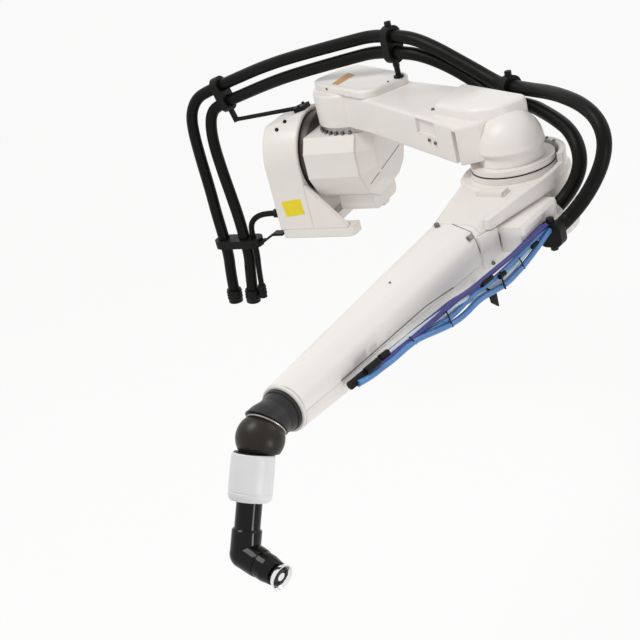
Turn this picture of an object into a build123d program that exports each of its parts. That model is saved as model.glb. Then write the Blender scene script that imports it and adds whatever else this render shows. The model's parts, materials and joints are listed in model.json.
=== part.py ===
from build123d import *
import math
import os

# Six-axis spray painting robot on a bracket foot, with its hose harness.
# Millimetres, +Z up. The origin is the centre of the foot's underside.
# Axis 1 is level and runs along +X, axes 2 and 3 stand upright in the pose
# modelled here, and the three wrist axes follow the forearm, each one tilted
# further down than the one before.

# Kinematics
axis1_height = 313.0
axis2_reach = 206.0
upper_arm_length = 1000.0
forearm_length = 1407.0
wrist_height = 253.0
arm_yaw = -31.5
forearm_yaw = -99.0
wrist_bend = 30.0

# Fits shared by all pieces
running_gap = 0.3
seat_gap = 0.2
cut_overrun = 30.0
far_reach = 600.0

# Foot and base housing
foot_length = 344.0
foot_width = 388.0
foot_thickness = 40.0
foot_corner = 30.0
foot_bolt_radius = 13.0
foot_bolt_margin = 40.0
ring_depth = 165.0
ring_edge = 10.0
recess_rim = 16.0
recess_depth = 12.0
bolt_pocket_length = 80.0
bolt_pocket_width = 60.0
bolt_pocket_height = 80.0
gusset_thickness = 20.0
gusset_rise = 195.0
gusset_toe_height = 12.0
gusset_toe_setback = 20.0
rear_cover_radius = 150.0
rear_cover_thickness = 10.0
gland_radius = 19.0
gland_length = 25.0
gland_height = 105.0
gland_side = 165.0

# Shoulder drum
neck_radius = 150.0
drum_gap = 35.0
drum_apothem = 195.0
drum_length = 234.0
drum_sides = 12
drum_top = 425.0
end_cover_length = 30.0
end_cover_rim = 24.0
end_cover_chamfer = 16.0
lower_cover_length = 160.0
lower_cover_width = 210.0
lower_cover_drop = 45.0
lower_cover_round = 30.0
lower_cover_setback = 8.0
collar_radius = 148.0
collar_top = 454.7

# Upper arm
arm_bottom = 455.0
beam_top = 590.0
root_radius = 156.0
root_half_width = 108.0
waist_reach = 300.0
waist_half_width = 114.0
flare_reach = 700.0
flare_half_width = 148.0
shoulder_of_elbow = 860.0
elbow_half_width = 100.0
beam_end = 960.0
beam_edge = 12.0
side_pocket_reach = 560.0
side_pocket_length = 120.0
side_pocket_height = 70.0
side_pocket_depth = 14.0
root_cover_tail = 125.0
root_cover_nose = 300.0
root_cover_half_width = 115.0
root_cover_height = 32.0
root_cover_round = 60.0
root_cover_edge = 12.0
motor_cover_start = 645.0
motor_cover_half_width = 95.0
motor_cover_height = 60.0
motor_cover_round = 55.0
motor_cover_edge = 20.0
turret_neck_radius = 106.0
turret_foot_radius = 114.0
turret_rim_radius = 120.0
turret_rim_bottom = 476.0
turret_rim_height = 14.0
turret_top_radius = 80.0
turret_top = 604.0
flange_radius = 146.0
flange_thickness = 22.0

# Forearm
turntable_top = 408.0
turntable_thickness = 22.0
turntable_radius = 150.0
housing_radius = 192.0
housing_bottom = 158.0
housing_edge = 10.0
neck_start = 60.0
neck_half_width = 176.0
neck_round = 40.0
cover_start = 430.0
cover_half_width = 104.0
cover_bottom = 165.0
cover_top = 372.0
cover_round = 55.0
nose_half_width = 71.0
nose_round = 62.0
split_height = 250.0
lip_inner_radius = 160.0
lip_height = 50.0
lip_setback = 20.0
side_plate_length = 120.0
side_plate_height = 84.0
side_plate_thickness = 10.0
side_plate_reach = 345.0
valve_box_start = 120.0
valve_box_length = 245.0
valve_box_inner = 100.0
valve_box_outer = 215.0
valve_box_bottom = 250.0
valve_box_height = 88.0
valve_box_edge = 10.0
inlet_radius = 31.0
inlet_length = 40.0
wrist_collar_half = 12.0
wrist_collar_radius = 73.0

# Wrist and applicator
first_reach = 75.0
second_reach = 90.0
first_radius = 62.0
first_waist_radius = 57.0
first_waist_share = 0.45
ball_radius = 77.0
wrist_flange_radius = 55.0
wrist_flange_length = 20.0
tool_collar_radius = 60.0
tool_collar_length = 121.0
tool_collar_edge = 6.0
tube_radius = 37.5
tube_length = 134.0
tube_bend_radius = 46.0
nose_turn = 74.0
body_nose_length = 62.0
shaping_length = 56.0
shaping_radius = 39.0
shaping_tip_radius = 34.0
bell_length = 24.0
bell_back_radius = 22.0
bell_front_radius = 35.0
bell_dish_depth = 3.5
bell_rim = 2.0

# Hoses, their clamps and holders
hose_radius = 25.0
cable_radius = 12.5
bore_gap = 0.8
arc_share = 0.45
clamp_thickness = 36.0
clamp_wall = 16.0
coupling_radius = 32.0
coupling_length = 60.0
cable_coupling_radius = 17.0
low_clamp_height = -20.0
low_clamp_side = -170.0
low_outer_hose = -487.0
low_inner_hose = -380.0
low_cable = -336.0
low_bar_thickness = 10.0
low_bar_width = 40.0
low_bar_height = 15.0
low_bar_stub = 50.0
low_bar_run = 60.0
rod_radius = 9.0
rod_height = 12.0
saddle_length = 50.0
saddle_width = 44.0
saddle_height = 24.0
saddle_setback = 8.0
upper_clamp_back = 236.0
upper_clamp_height = 594.0
upper_clamp_tilt = 15.0
upper_clamp_spread = 72.0
upper_clamp_tail = 70.0
arm_clamp_reach = 281.0
arm_clamp_side = 60.0
arm_clamp_height = 753.0
arm_clamp_spread = 64.0
arm_clamp_turn = 11.5
post_radius = 11.0
post_foot_radius = 20.0
post_foot_height = 8.0
elbow_clamp_reach = 805.0
elbow_clamp_side = 185.0
elbow_clamp_height = 570.0
elbow_clamp_spread = 60.0
elbow_clamp_thickness = 32.0
fore_clamp_reach = 242.0
fore_clamp_side = 246.0
fore_clamp_height = 262.0
fore_clamp_length = 40.0
process_tube_radius = 6.0
process_tube_pitch = 15.0
tube_bracket_width = 16.0
tube_bracket_thickness = 6.0
tube_bracket_lip = 14.0
tube_bracket_runs = (3, 4, 5)

# Values that follow from the ones above
foot_back = -foot_length / 2
ring_radius = foot_width / 2
ring_front = foot_back + ring_depth
recess_floor = ring_front - recess_depth
drum_start = ring_front + drum_gap
drum_end = drum_start + drum_length
ring_top = axis1_height + ring_radius
housing_top = turntable_top - turntable_thickness
wrist_end = forearm_length - wrist_collar_half

# Frames of the moving bodies, in the modelled pose
arm_frame = Location((axis2_reach, 0, 0), (0, 0, arm_yaw))
elbow_point = (arm_frame * Pos(upper_arm_length, 0, 0)).position
forearm_frame = Location((elbow_point.X, elbow_point.Y, 0), (0, 0, forearm_yaw))
wrist_frame = forearm_frame * Pos(forearm_length, 0, wrist_height) * Rot(0, 90, 0)
second_frame = wrist_frame * Pos(0, 0, first_reach) * Rot(0, wrist_bend, 0)
tool_frame = second_frame * Pos(0, 0, second_reach) * Rot(0, wrist_bend, 0)
nose_corner = wrist_flange_length + tool_collar_length + tube_length
nose_frame = tool_frame * Pos(0, 0, nose_corner) * Rot(-nose_turn, 0, 0)

# Hose routes, point by point. The riser and the shoulder span are in the
# foot's frame, the arm run and the elbow loop in the upper arm's frame.
riser_outer_route = [
    (-512, -170, -250), (-503, -170, -165), (-487, -170, -85), (-487, -170, 35),
    (-505, -148, 105), (-527, -115, 215), (-552, -85, 340), (-570, -58, 455),
    (-572, -35, 530), (-540, -12, 588), (-475, 0, 613.5), (-388.3, 0, 636.6),
]
riser_inner_route = [
    (-414, -170, -250), (-399, -170, -165), (-380, -170, -85), (-380, -170, 35),
    (-397, -148, 98), (-424, -120, 178), (-455, -90, 280), (-483, -58, 385),
    (-493, -34, 452), (-488, -14, 508), (-456.7, 0, 543.7), (-369.7, 0, 567),
]
cable_route = [
    (-197, -165, 105), (-245, -165, 105), (-290, -166, 94), (-324, -169, 68),
    (-336, -170, 25), (-336, -170, -75), (-352, -170, -155), (-360, -170, -230),
]
span_outer_route = [
    (-387.8, 0, 636.7), (-311, 0, 657.3), (-175, -20, 695), (-25, -38, 727),
    (131, -52, 752), (290, -60, 774), (385, -62.5, 785), (448.2, -85.2, 785),
]
span_inner_route = [
    (-369.2, 0, 567.1), (-292.4, 0, 587.7), (-160, -20, 625), (-15, -38, 659),
    (135, -52, 686), (290, -60, 709), (385, -62.5, 721), (448.2, -85.2, 721),
]
arm_outer_route = [
    (251.6, 54, 785), (339.8, 72, 785), (415, 95, 768), (492, 118, 735),
    (562, 140, 696), (635, 163, 655), (700, 180, 620), (760, 185, 600),
    (835, 185, 600),
]
arm_inner_route = [
    (251.6, 54, 721), (339.8, 72, 721), (400, 100, 708), (470, 135, 675),
    (545, 165, 632), (615, 185, 588), (685, 190, 552), (750, 185, 540),
    (835, 185, 540),
]
loop_outer_route = [
    (835, 185, 600), (925, 185, 600), (1030, 165, 612), (1150, 138, 620),
    (1270, 116, 612), (1356, 98, 580), (1398, 80, 524), (1392, 60, 452),
    (1362, 30, 378), (1330, -12, 315), (1290, -58, 262), (1311.7, -110.4, 262),
]
loop_inner_route = [
    (835, 185, 540), (915, 185, 540), (1000, 166, 534), (1090, 142, 528),
    (1180, 118, 512), (1238, 97, 470), (1258, 78, 415), (1251, 50, 362),
    (1234, 12, 318), (1226, -18, 298),
]
process_tube_route = [
    (264, 238, 255), (330, 232, 238), (430, 190, 215), (560, 160, 203),
    (760, 145, 200), (980, 128, 202), (1205, 108, 206),
]


def block(size_x, size_y, size_z, x, y, z):
    """A box given by its size and the centre of its underside."""
    return Pos(x, y, z) * Box(size_x, size_y, size_z, align=(Align.CENTER, Align.CENTER, Align.MIN))


def upright(radius, bottom, top, x=0, y=0):
    """A round post between two heights."""
    return Pos(x, y, bottom) * Cylinder(radius, top - bottom, align=(Align.CENTER, Align.CENTER, Align.MIN))


def level_disc(radius, start, end):
    """A disc about axis 1 between two places along X."""
    return extrude(Plane.YZ.offset(start) * Pos(0, axis1_height) * Circle(radius), end - start)


def route_path(points):
    """Straight runs joined by arcs, each as large as its two runs allow."""
    corners = [Vector(*point) for point in points]
    radii = []
    for before, here, after in zip(corners, corners[1:], corners[2:]):
        turn = (here - before).get_angle(after - here)
        shorter = min((here - before).length, (after - here).length)
        radii.append(arc_share * shorter / math.tan(math.radians(turn) / 2))
    print("tightest bend", round(min(radii)), "of", len(radii))
    return FilletPolyline(*corners, radius=radii)


def hose(points, radius):
    """A plain round hose along its route."""
    path = route_path(points)
    return sweep(Plane(path @ 0, z_dir=path % 0) * Circle(radius), path=path)


def end_coupling(points, radius):
    """The coupling that closes a hose's lower end."""
    end = Vector(*points[0])
    outward = (end - Vector(*points[1])).normalized()
    return extrude(Plane(end, z_dir=outward) * Circle(radius), coupling_length)


# Base
def base_foot():
    plate = extrude(RectangleRounded(foot_length, foot_width, foot_corner), foot_thickness)
    bolts_x = foot_length / 2 - foot_bolt_margin
    bolts_y = foot_width / 2 - foot_bolt_margin
    for x in (-bolts_x, bolts_x):
        for y in (-bolts_y, bolts_y):
            plate -= upright(foot_bolt_radius, -cut_overrun, foot_thickness + cut_overrun, x, y)
    return plate


def base_housing():
    leg_height = axis1_height - foot_thickness
    arch = Pos(0, axis1_height) * Circle(ring_radius)
    arch += Pos(0, foot_thickness + leg_height / 2) * Rectangle(foot_width, leg_height)
    housing = extrude(Plane.YZ.offset(foot_back) * arch, ring_depth)
    rims = [edge for edge in housing.edges().filter_by(GeomType.CIRCLE)]
    housing = fillet(rims, ring_edge)
    housing -= level_disc(ring_radius - recess_rim, recess_floor, ring_front + cut_overrun)
    bolts_y = foot_width / 2 - foot_bolt_margin
    for y in (-bolts_y, bolts_y):
        housing -= block(
            bolt_pocket_length * 2, bolt_pocket_width, bolt_pocket_height + cut_overrun,
            foot_back, y, foot_thickness - cut_overrun,
        )
    return housing


def base_gusset(outer_side):
    toe = foot_length / 2 - gusset_toe_setback
    outline = Polygon(
        (ring_front, foot_thickness),
        (toe, foot_thickness),
        (toe, foot_thickness + gusset_toe_height),
        (ring_front, foot_thickness + gusset_rise),
        align=None,
    )
    return extrude(Plane.XZ.offset(-outer_side) * outline, gusset_thickness)


def base_rear_cover():
    cover = level_disc(rear_cover_radius, foot_back - rear_cover_thickness, foot_back)
    rear_edge = cover.edges().filter_by(GeomType.CIRCLE).sort_by(Axis.X)[0]
    return chamfer(rear_edge, rear_cover_thickness / 2)


def cable_gland():
    seat = Plane((foot_back, -gland_side, gland_height), z_dir=(-1, 0, 0))
    gland = extrude(seat * Circle(gland_radius), gland_length)
    return gland


# Shoulder
def drum_section(apothem):
    return Pos(0, axis1_height) * RegularPolygon(apothem, drum_sides, major_radius=False, rotation=180 / drum_sides)


def below_drum_top(shape):
    return shape - block(far_reach, far_reach, far_reach, axis2_reach, 0, drum_top)


def shoulder_housing():
    drum = extrude(Plane.YZ.offset(drum_start) * drum_section(drum_apothem), drum_length)
    drum += level_disc(neck_radius, recess_floor + running_gap, drum_start)
    return below_drum_top(drum)


def shoulder_end_cover():
    cover = extrude(Plane.YZ.offset(drum_end) * drum_section(drum_apothem - end_cover_rim), end_cover_length)
    cover = chamfer(cover.faces().sort_by(Axis.X)[-1].edges(), end_cover_chamfer)
    return below_drum_top(cover)


def shoulder_lower_cover():
    bottom = axis1_height - drum_apothem - lower_cover_drop
    middle = drum_end - lower_cover_setback - lower_cover_length / 2
    cover = block(lower_cover_length, lower_cover_width, lower_cover_drop * 2, middle, 0, bottom)
    cover = fillet(cover.edges().filter_by(Axis.X).group_by(Axis.Z)[0], lower_cover_round)
    return cover - extrude(Plane.YZ.offset(drum_start) * drum_section(drum_apothem), drum_length)


def shoulder_collar():
    return upright(collar_radius, drum_top, collar_top, axis2_reach)


# Upper arm, in its own frame: X runs from axis 2 to axis 3
def elbow_turret():
    bottom = turntable_top + running_gap + flange_thickness
    outline = Polyline(
        (0, bottom),
        (turret_foot_radius, bottom),
        (turret_neck_radius, turret_rim_bottom),
        (turret_rim_radius, turret_rim_bottom),
        (turret_rim_radius, turret_rim_bottom + turret_rim_height),
        (turret_top_radius, turret_top),
        (0, turret_top),
        close=True,
    )
    turret = revolve(Plane.XZ * make_face(outline), Axis.Z)
    return Pos(upper_arm_length, 0, 0) * turret


def elbow_flange():
    bottom = turntable_top + running_gap
    return upright(flange_radius, bottom, bottom + flange_thickness, upper_arm_length)


def upper_arm_casting():
    near_side = [
        (0, root_half_width), (waist_reach, waist_half_width), (flare_reach, flare_half_width),
        (shoulder_of_elbow, flare_half_width), (beam_end, elbow_half_width),
    ]
    far_side = [(x, -y) for x, y in reversed(near_side)]
    plan = make_face(Polyline(*near_side, *far_side, close=True)) + Circle(root_radius)
    casting = extrude(Pos(0, 0, arm_bottom) * plan, beam_top - arm_bottom)
    casting = chamfer(casting.faces().sort_by(Axis.Z)[-1].edges(), beam_edge)
    middle = (arm_bottom + beam_top - side_pocket_height) / 2
    flare = (flare_half_width - waist_half_width) / (flare_reach - waist_reach)
    for side in (-1, 1):
        reach = side_pocket_reach + side_pocket_length / 2
        wall = side * (waist_half_width + flare * (reach - waist_reach))
        casting -= Location((reach, wall, middle), (0, 0, side * math.degrees(math.atan(flare)))) * Box(
            side_pocket_length, side_pocket_depth * 2, side_pocket_height,
            align=(Align.CENTER, Align.CENTER, Align.MIN),
        )
    return casting - elbow_turret()


def root_cover():
    length = root_cover_nose + root_cover_tail
    plan = RectangleRounded(length, root_cover_half_width * 2, root_cover_round)
    cover = extrude(plan, root_cover_height)
    cover = fillet(cover.faces().sort_by(Axis.Z)[-1].edges(), root_cover_edge)
    return Pos(root_cover_nose - length / 2, 0, beam_top) * cover


def elbow_motor_cover():
    length = upper_arm_length - motor_cover_start
    plan = RectangleRounded(length, motor_cover_half_width * 2, motor_cover_round)
    cover = extrude(plan, motor_cover_height)
    cover = fillet(cover.faces().sort_by(Axis.Z)[-1].edges(), motor_cover_edge)
    return Pos(motor_cover_start + length / 2, 0, beam_top) * cover - elbow_turret()


# Forearm, in its own frame: X runs from axis 3 to the wrist
def forearm_section(reach, half_width, bottom, top, corner):
    centre = (reach, 0, (bottom + top) / 2)
    return Plane(centre, x_dir=(0, 1, 0), z_dir=(1, 0, 0)) * RectangleRounded(half_width * 2, top - bottom, corner)


def forearm_housing():
    rear = forearm_section(neck_start, neck_half_width, housing_bottom, housing_top, neck_round)
    front = forearm_section(cover_start, cover_half_width, cover_bottom, cover_top, cover_round)
    housing = upright(housing_radius, housing_bottom, housing_top)
    housing = chamfer(housing.edges().filter_by(GeomType.CIRCLE), housing_edge)
    return housing + loft([rear, front], ruled=True)


def forearm_turntable():
    return upright(turntable_radius, housing_top, turntable_top)


def forearm_lip():
    ring = upright(housing_radius - housing_edge, housing_top, housing_top + lip_height)
    ring -= upright(lip_inner_radius, housing_top - cut_overrun, housing_top + lip_height + cut_overrun)
    return ring - block(far_reach, far_reach, far_reach, far_reach / 2 - lip_setback, 0, housing_top - cut_overrun)


def forearm_shell():
    rear = forearm_section(cover_start, cover_half_width, cover_bottom, cover_top, cover_round)
    nose_bottom = wrist_height - nose_half_width
    front = forearm_section(wrist_end, nose_half_width, nose_bottom, wrist_height + nose_half_width, nose_round)
    return loft([rear, front], ruled=True)


def forearm_cover():
    reach = (cover_start + wrist_end) / 2
    return forearm_shell() & block(forearm_length, far_reach, far_reach, reach, 0, split_height)


def forearm_tray():
    reach = (cover_start + wrist_end) / 2
    return forearm_shell() & block(forearm_length, far_reach, far_reach, reach, 0, split_height - far_reach)


def side_slope():
    return (neck_half_width - cover_half_width) / (cover_start - neck_start)


def forearm_side_plate():
    wall = neck_half_width - side_slope() * (side_plate_reach - neck_start)
    middle = (housing_bottom + housing_top) / 2
    frame = Location((side_plate_reach, wall, middle), (0, 0, -math.degrees(math.atan(side_slope()))))
    plate = Box(side_plate_length, side_plate_thickness, side_plate_height, align=(Align.MIN, Align.MIN, Align.CENTER))
    return frame * Pos(-side_plate_length / 2, seat_gap, 0) * plate


def inlet_frame():
    end = Vector(*loop_inner_route[-1])
    heading = (end - Vector(*loop_inner_route[-2])).normalized()
    world_end = arm_frame * Pos(end.X, end.Y, end.Z)
    world_ahead = arm_frame * Pos(end.X + heading.X, end.Y + heading.Y, end.Z + heading.Z)
    return Plane(world_end.position, z_dir=world_ahead.position - world_end.position)


def valve_box():
    width = valve_box_outer - valve_box_inner
    middle = valve_box_start + valve_box_length / 2
    box = block(valve_box_length, width, valve_box_height, middle, valve_box_inner + width / 2, valve_box_bottom)
    outer = box.faces().sort_by(Axis.Y)[-1]
    box = chamfer(outer.edges(), valve_box_edge)
    inlet = forearm_frame.inverse() * extrude(inlet_frame() * Circle(inlet_radius), inlet_length)
    return box + inlet - forearm_housing() - forearm_side_plate()


def wrist_collar():
    return Pos(0, 0, -wrist_collar_half) * Cylinder(
        wrist_collar_radius, wrist_collar_half * 2, align=(Align.CENTER, Align.CENTER, Align.MIN)
    )


# Wrist and applicator, each about its own axis
def beyond(frame):
    """The half space past a wrist joint's plane."""
    return frame * block(far_reach, far_reach, far_reach, 0, 0, 0)


def wrist_first():
    start = wrist_collar_half + running_gap
    end = first_reach * 2
    waist = start + first_waist_share * (first_reach - start)
    outline = Polyline(
        (0, start), (first_radius, start), (first_waist_radius, waist),
        (first_radius, first_reach), (first_radius, end), (0, end), close=True,
    )
    body = revolve(Plane.XZ * make_face(outline), Axis.Z)
    return wrist_frame * body - beyond(second_frame)


def wrist_second():
    ball = Pos(0, 0, second_reach / 2) * Sphere(ball_radius)
    ball = ball & block(far_reach, far_reach, far_reach, 0, 0, running_gap)
    return second_frame * ball - beyond(tool_frame)


def wrist_flange():
    return upright(wrist_flange_radius, running_gap, wrist_flange_length)


def tool_collar():
    collar = upright(tool_collar_radius, wrist_flange_length, wrist_flange_length + tool_collar_length)
    return chamfer(collar.edges().filter_by(GeomType.CIRCLE), tool_collar_edge)


def applicator_body():
    start = wrist_flange_length + tool_collar_length
    turn = math.radians(nose_turn)
    end = (0, body_nose_length * math.sin(turn), nose_corner + body_nose_length * math.cos(turn))
    path = FilletPolyline((0, 0, start), (0, 0, nose_corner), end, radius=tube_bend_radius)
    return sweep(Plane(path @ 0, z_dir=path % 0) * Circle(tube_radius), path=path)


def shaping_ring():
    tip = body_nose_length + shaping_length
    outline = Polyline(
        (0, body_nose_length), (shaping_radius, body_nose_length),
        (shaping_radius, body_nose_length + shaping_length / 2),
        (shaping_tip_radius, tip), (0, tip), close=True,
    )
    return revolve(Plane.XZ * make_face(outline), Axis.Z)


def bell_cup():
    back = body_nose_length + shaping_length + running_gap
    front = back + bell_length
    outline = Polyline(
        (0, back), (bell_back_radius, back), (bell_front_radius, front),
        (bell_front_radius - bell_rim, front), (bell_back_radius, front - bell_dish_depth),
        (0, front - bell_dish_depth), close=True,
    )
    return revolve(Plane.XZ * make_face(outline), Axis.Z)


# Hose clamps and their holders
def bar_clamp(plane, places, radii, width, thickness):
    """A bar across a plane with one bore for each hose, rounded at both ends."""
    first, last = min(places), max(places)
    reach = max(radii) + clamp_wall
    bar = Pos((first + last) / 2, 0) * RectangleRounded(last - first + reach * 2, width, width / 2 - bore_gap)
    for place, radius in zip(places, radii):
        bar -= Pos(place, 0) * Circle(radius + bore_gap)
    return Pos(0, 0, 0) * extrude(plane.offset(-thickness / 2) * bar, thickness)


def clamp_width():
    return (hose_radius + clamp_wall) * 2


def low_hose_clamp():
    plane = Plane((0, low_clamp_side, low_clamp_height))
    places = (low_outer_hose, low_inner_hose, low_cable)
    return bar_clamp(plane, places, (hose_radius, hose_radius, cable_radius), clamp_width(), clamp_thickness)


def low_hose_bracket():
    clamp_end = low_cable + hose_radius + clamp_wall
    stub_end = foot_back - low_bar_stub
    drop_end = stub_end - low_bar_run
    half = low_bar_thickness / 2
    outline = Polygon(
        (foot_back, low_bar_height + half), (stub_end, low_bar_height + half),
        (drop_end, low_clamp_height + half), (clamp_end, low_clamp_height + half),
        (clamp_end, low_clamp_height - half), (drop_end, low_clamp_height - half),
        (stub_end, low_bar_height - half), (foot_back, low_bar_height - half),
        align=None,
    )
    near = -low_clamp_side + low_bar_width / 2 - low_bar_width
    return extrude(Plane.XZ.offset(near) * outline, low_bar_width) - low_hose_clamp()


def upper_clamp_plane():
    centre = (foot_back - upper_clamp_back, 0, upper_clamp_height)
    tilt = math.radians(upper_clamp_tilt)
    return Plane(centre, x_dir=(-math.sin(tilt), 0, math.cos(tilt)), z_dir=(math.cos(tilt), 0, math.sin(tilt)))


def upper_hose_clamp():
    half = upper_clamp_spread / 2
    clamp = bar_clamp(upper_clamp_plane(), (-half, half), (hose_radius, hose_radius), clamp_width(), clamp_thickness)
    reach = half + hose_radius
    tail = Pos(-reach - upper_clamp_tail / 2, 0) * Rectangle(upper_clamp_tail, rod_radius * 2)
    return clamp + extrude(upper_clamp_plane().offset(-rod_radius) * tail, rod_radius * 2)


def upper_hose_rod():
    height = ring_top + rod_height
    saddle_middle = ring_front - saddle_setback - saddle_length / 2
    saddle = block(saddle_length, saddle_width, saddle_height * 2, saddle_middle, 0, height - saddle_height * 1.5)
    saddle -= level_disc(ring_radius + seat_gap, foot_back, ring_front + cut_overrun)
    lean = (upper_clamp_height - height) * math.tan(math.radians(upper_clamp_tilt))
    rod_end = foot_back - upper_clamp_back + lean
    rod = extrude(Plane((rod_end, 0, height), z_dir=(1, 0, 0)) * Circle(rod_radius), saddle_middle - rod_end)
    return rod + saddle - upper_hose_clamp()


def arm_clamp_plane():
    turn = math.radians(arm_clamp_turn)
    return Plane(
        (arm_clamp_reach, arm_clamp_side, arm_clamp_height),
        x_dir=(0, 0, 1), z_dir=(math.cos(turn), math.sin(turn), 0),
    )


def arm_hose_clamp():
    half = arm_clamp_spread / 2
    return bar_clamp(arm_clamp_plane(), (-half, half), (hose_radius, hose_radius), clamp_width(), clamp_thickness)


def arm_hose_post():
    foot = beam_top + root_cover_height
    post = upright(post_radius, foot, arm_clamp_height - arm_clamp_spread / 2, arm_clamp_reach, arm_clamp_side)
    post += upright(post_foot_radius, foot, foot + post_foot_height, arm_clamp_reach, arm_clamp_side)
    half = arm_clamp_spread / 2
    envelope = Pos(0, 0) * RectangleRounded(
        arm_clamp_spread + (hose_radius + clamp_wall) * 2, clamp_width(), clamp_width() / 2 - bore_gap
    )
    filled = extrude(arm_clamp_plane().offset(-clamp_thickness / 2) * envelope, clamp_thickness)
    return post - filled - upright(post_radius * 2, arm_clamp_height - half, arm_clamp_height, arm_clamp_reach, arm_clamp_side)


def elbow_hose_clamp():
    plane = Plane(
        (elbow_clamp_reach, elbow_clamp_side, elbow_clamp_height), x_dir=(0, 0, 1), z_dir=(1, 0, 0)
    )
    half = elbow_clamp_spread / 2
    clamp = bar_clamp(plane, (-half, half), (hose_radius, hose_radius), clamp_width(), elbow_clamp_thickness)
    return clamp - upper_arm_casting()


def forearm_hose_clamp():
    start = fore_clamp_reach - fore_clamp_length / 2
    plane = Plane((start, fore_clamp_side, fore_clamp_height), z_dir=(1, 0, 0))
    clamp = extrude(plane * RectangleRounded(clamp_width(), clamp_width(), hose_radius), fore_clamp_length)
    return clamp - valve_box() - forearm_housing()


def process_tubes():
    tubes = []
    for row in (0, 1):
        for column in (0, 1):
            shift = Vector(0, process_tube_pitch * row, process_tube_pitch * column)
            points = [Vector(*point) + shift for point in process_tube_route]
            tubes.append(hose([tuple(point) for point in points], process_tube_radius))
    return tubes


def tube_brackets():
    brackets = []
    for index in tube_bracket_runs:
        middle = (Vector(*process_tube_route[index]) + Vector(*process_tube_route[index + 1])) / 2
        length = middle.Y + process_tube_pitch + tube_bracket_lip
        top = middle.Z - process_tube_radius - seat_gap
        shelf = block(
            tube_bracket_width, length, tube_bracket_thickness, middle.X, length / 2, top - tube_bracket_thickness
        )
        brackets.append(shelf - forearm_shell())
    return brackets


def save(name, *shapes):
    solids = [solid for shape in shapes for solid in shape.solids()]
    export_step(solids[0] if len(solids) == 1 else Compound(children=solids), "parts/" + name + ".step")


os.makedirs("parts", exist_ok=True)

save("base_foot", base_foot())
save("base_housing", base_housing())
save("base_gusset_near", base_gusset(-ring_radius + gusset_thickness))
save("base_gusset_far", base_gusset(ring_radius))
save("base_rear_cover", base_rear_cover())
save("base_cable_gland", cable_gland())
save("low_hose_bracket", low_hose_bracket())
save("low_hose_clamp", low_hose_clamp())
save("upper_hose_rod", upper_hose_rod())
save("upper_hose_clamp", upper_hose_clamp())
save("riser_hose_outer", hose(riser_outer_route, hose_radius))
save("riser_hose_inner", hose(riser_inner_route, hose_radius))
save("base_cable", hose(cable_route, cable_radius))
save(
    "hose_end_couplings",
    end_coupling(riser_outer_route, coupling_radius),
    end_coupling(riser_inner_route, coupling_radius),
    end_coupling(list(reversed(cable_route)), cable_coupling_radius),
)
save("span_hose_outer", hose(span_outer_route, hose_radius))
save("span_hose_inner", hose(span_inner_route, hose_radius))

save("shoulder_housing", shoulder_housing())
save("shoulder_end_cover", shoulder_end_cover())
save("shoulder_lower_cover", shoulder_lower_cover())
save("shoulder_collar", shoulder_collar())

save("upper_arm_casting", arm_frame * upper_arm_casting())
save("root_cover", arm_frame * root_cover())
save("elbow_turret", arm_frame * elbow_turret())
save("elbow_flange", arm_frame * elbow_flange())
save("elbow_motor_cover", arm_frame * elbow_motor_cover())
save("arm_hose_post", arm_frame * arm_hose_post())
save("arm_hose_clamp", arm_frame * arm_hose_clamp())
save("elbow_hose_clamp", arm_frame * elbow_hose_clamp())
save("arm_hose_outer", arm_frame * hose(arm_outer_route, hose_radius))
save("arm_hose_inner", arm_frame * hose(arm_inner_route, hose_radius))
save("loop_hose_outer", arm_frame * hose(loop_outer_route, hose_radius))
save("loop_hose_inner", arm_frame * hose(loop_inner_route, hose_radius))

save("forearm_housing", forearm_frame * forearm_housing())
save("forearm_turntable", forearm_frame * forearm_turntable())
save("forearm_lip", forearm_frame * forearm_lip())
save("forearm_cover", forearm_frame * forearm_cover())
save("forearm_tray", forearm_frame * forearm_tray())
save("forearm_side_plate", forearm_frame * forearm_side_plate())
save("valve_box", forearm_frame * valve_box())
save("forearm_hose_clamp", forearm_frame * forearm_hose_clamp())
save("process_tubes", *[forearm_frame * tube for tube in process_tubes()])
save("tube_brackets", *[forearm_frame * bracket for bracket in tube_brackets()])
save("wrist_collar", wrist_frame * wrist_collar())

save("wrist_first", wrist_first())
save("wrist_second", wrist_second())
save("wrist_flange", tool_frame * wrist_flange())
save("tool_collar", tool_frame * tool_collar())
save("applicator_body", tool_frame * applicator_body())
save("shaping_ring", nose_frame * shaping_ring())
save("bell_cup", nose_frame * bell_cup())
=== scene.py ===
"""Finishes, hoses and small parts of a white six-axis painting robot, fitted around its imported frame."""

import json
import math

import bpy
from mathutils import Matrix, Vector


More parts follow.
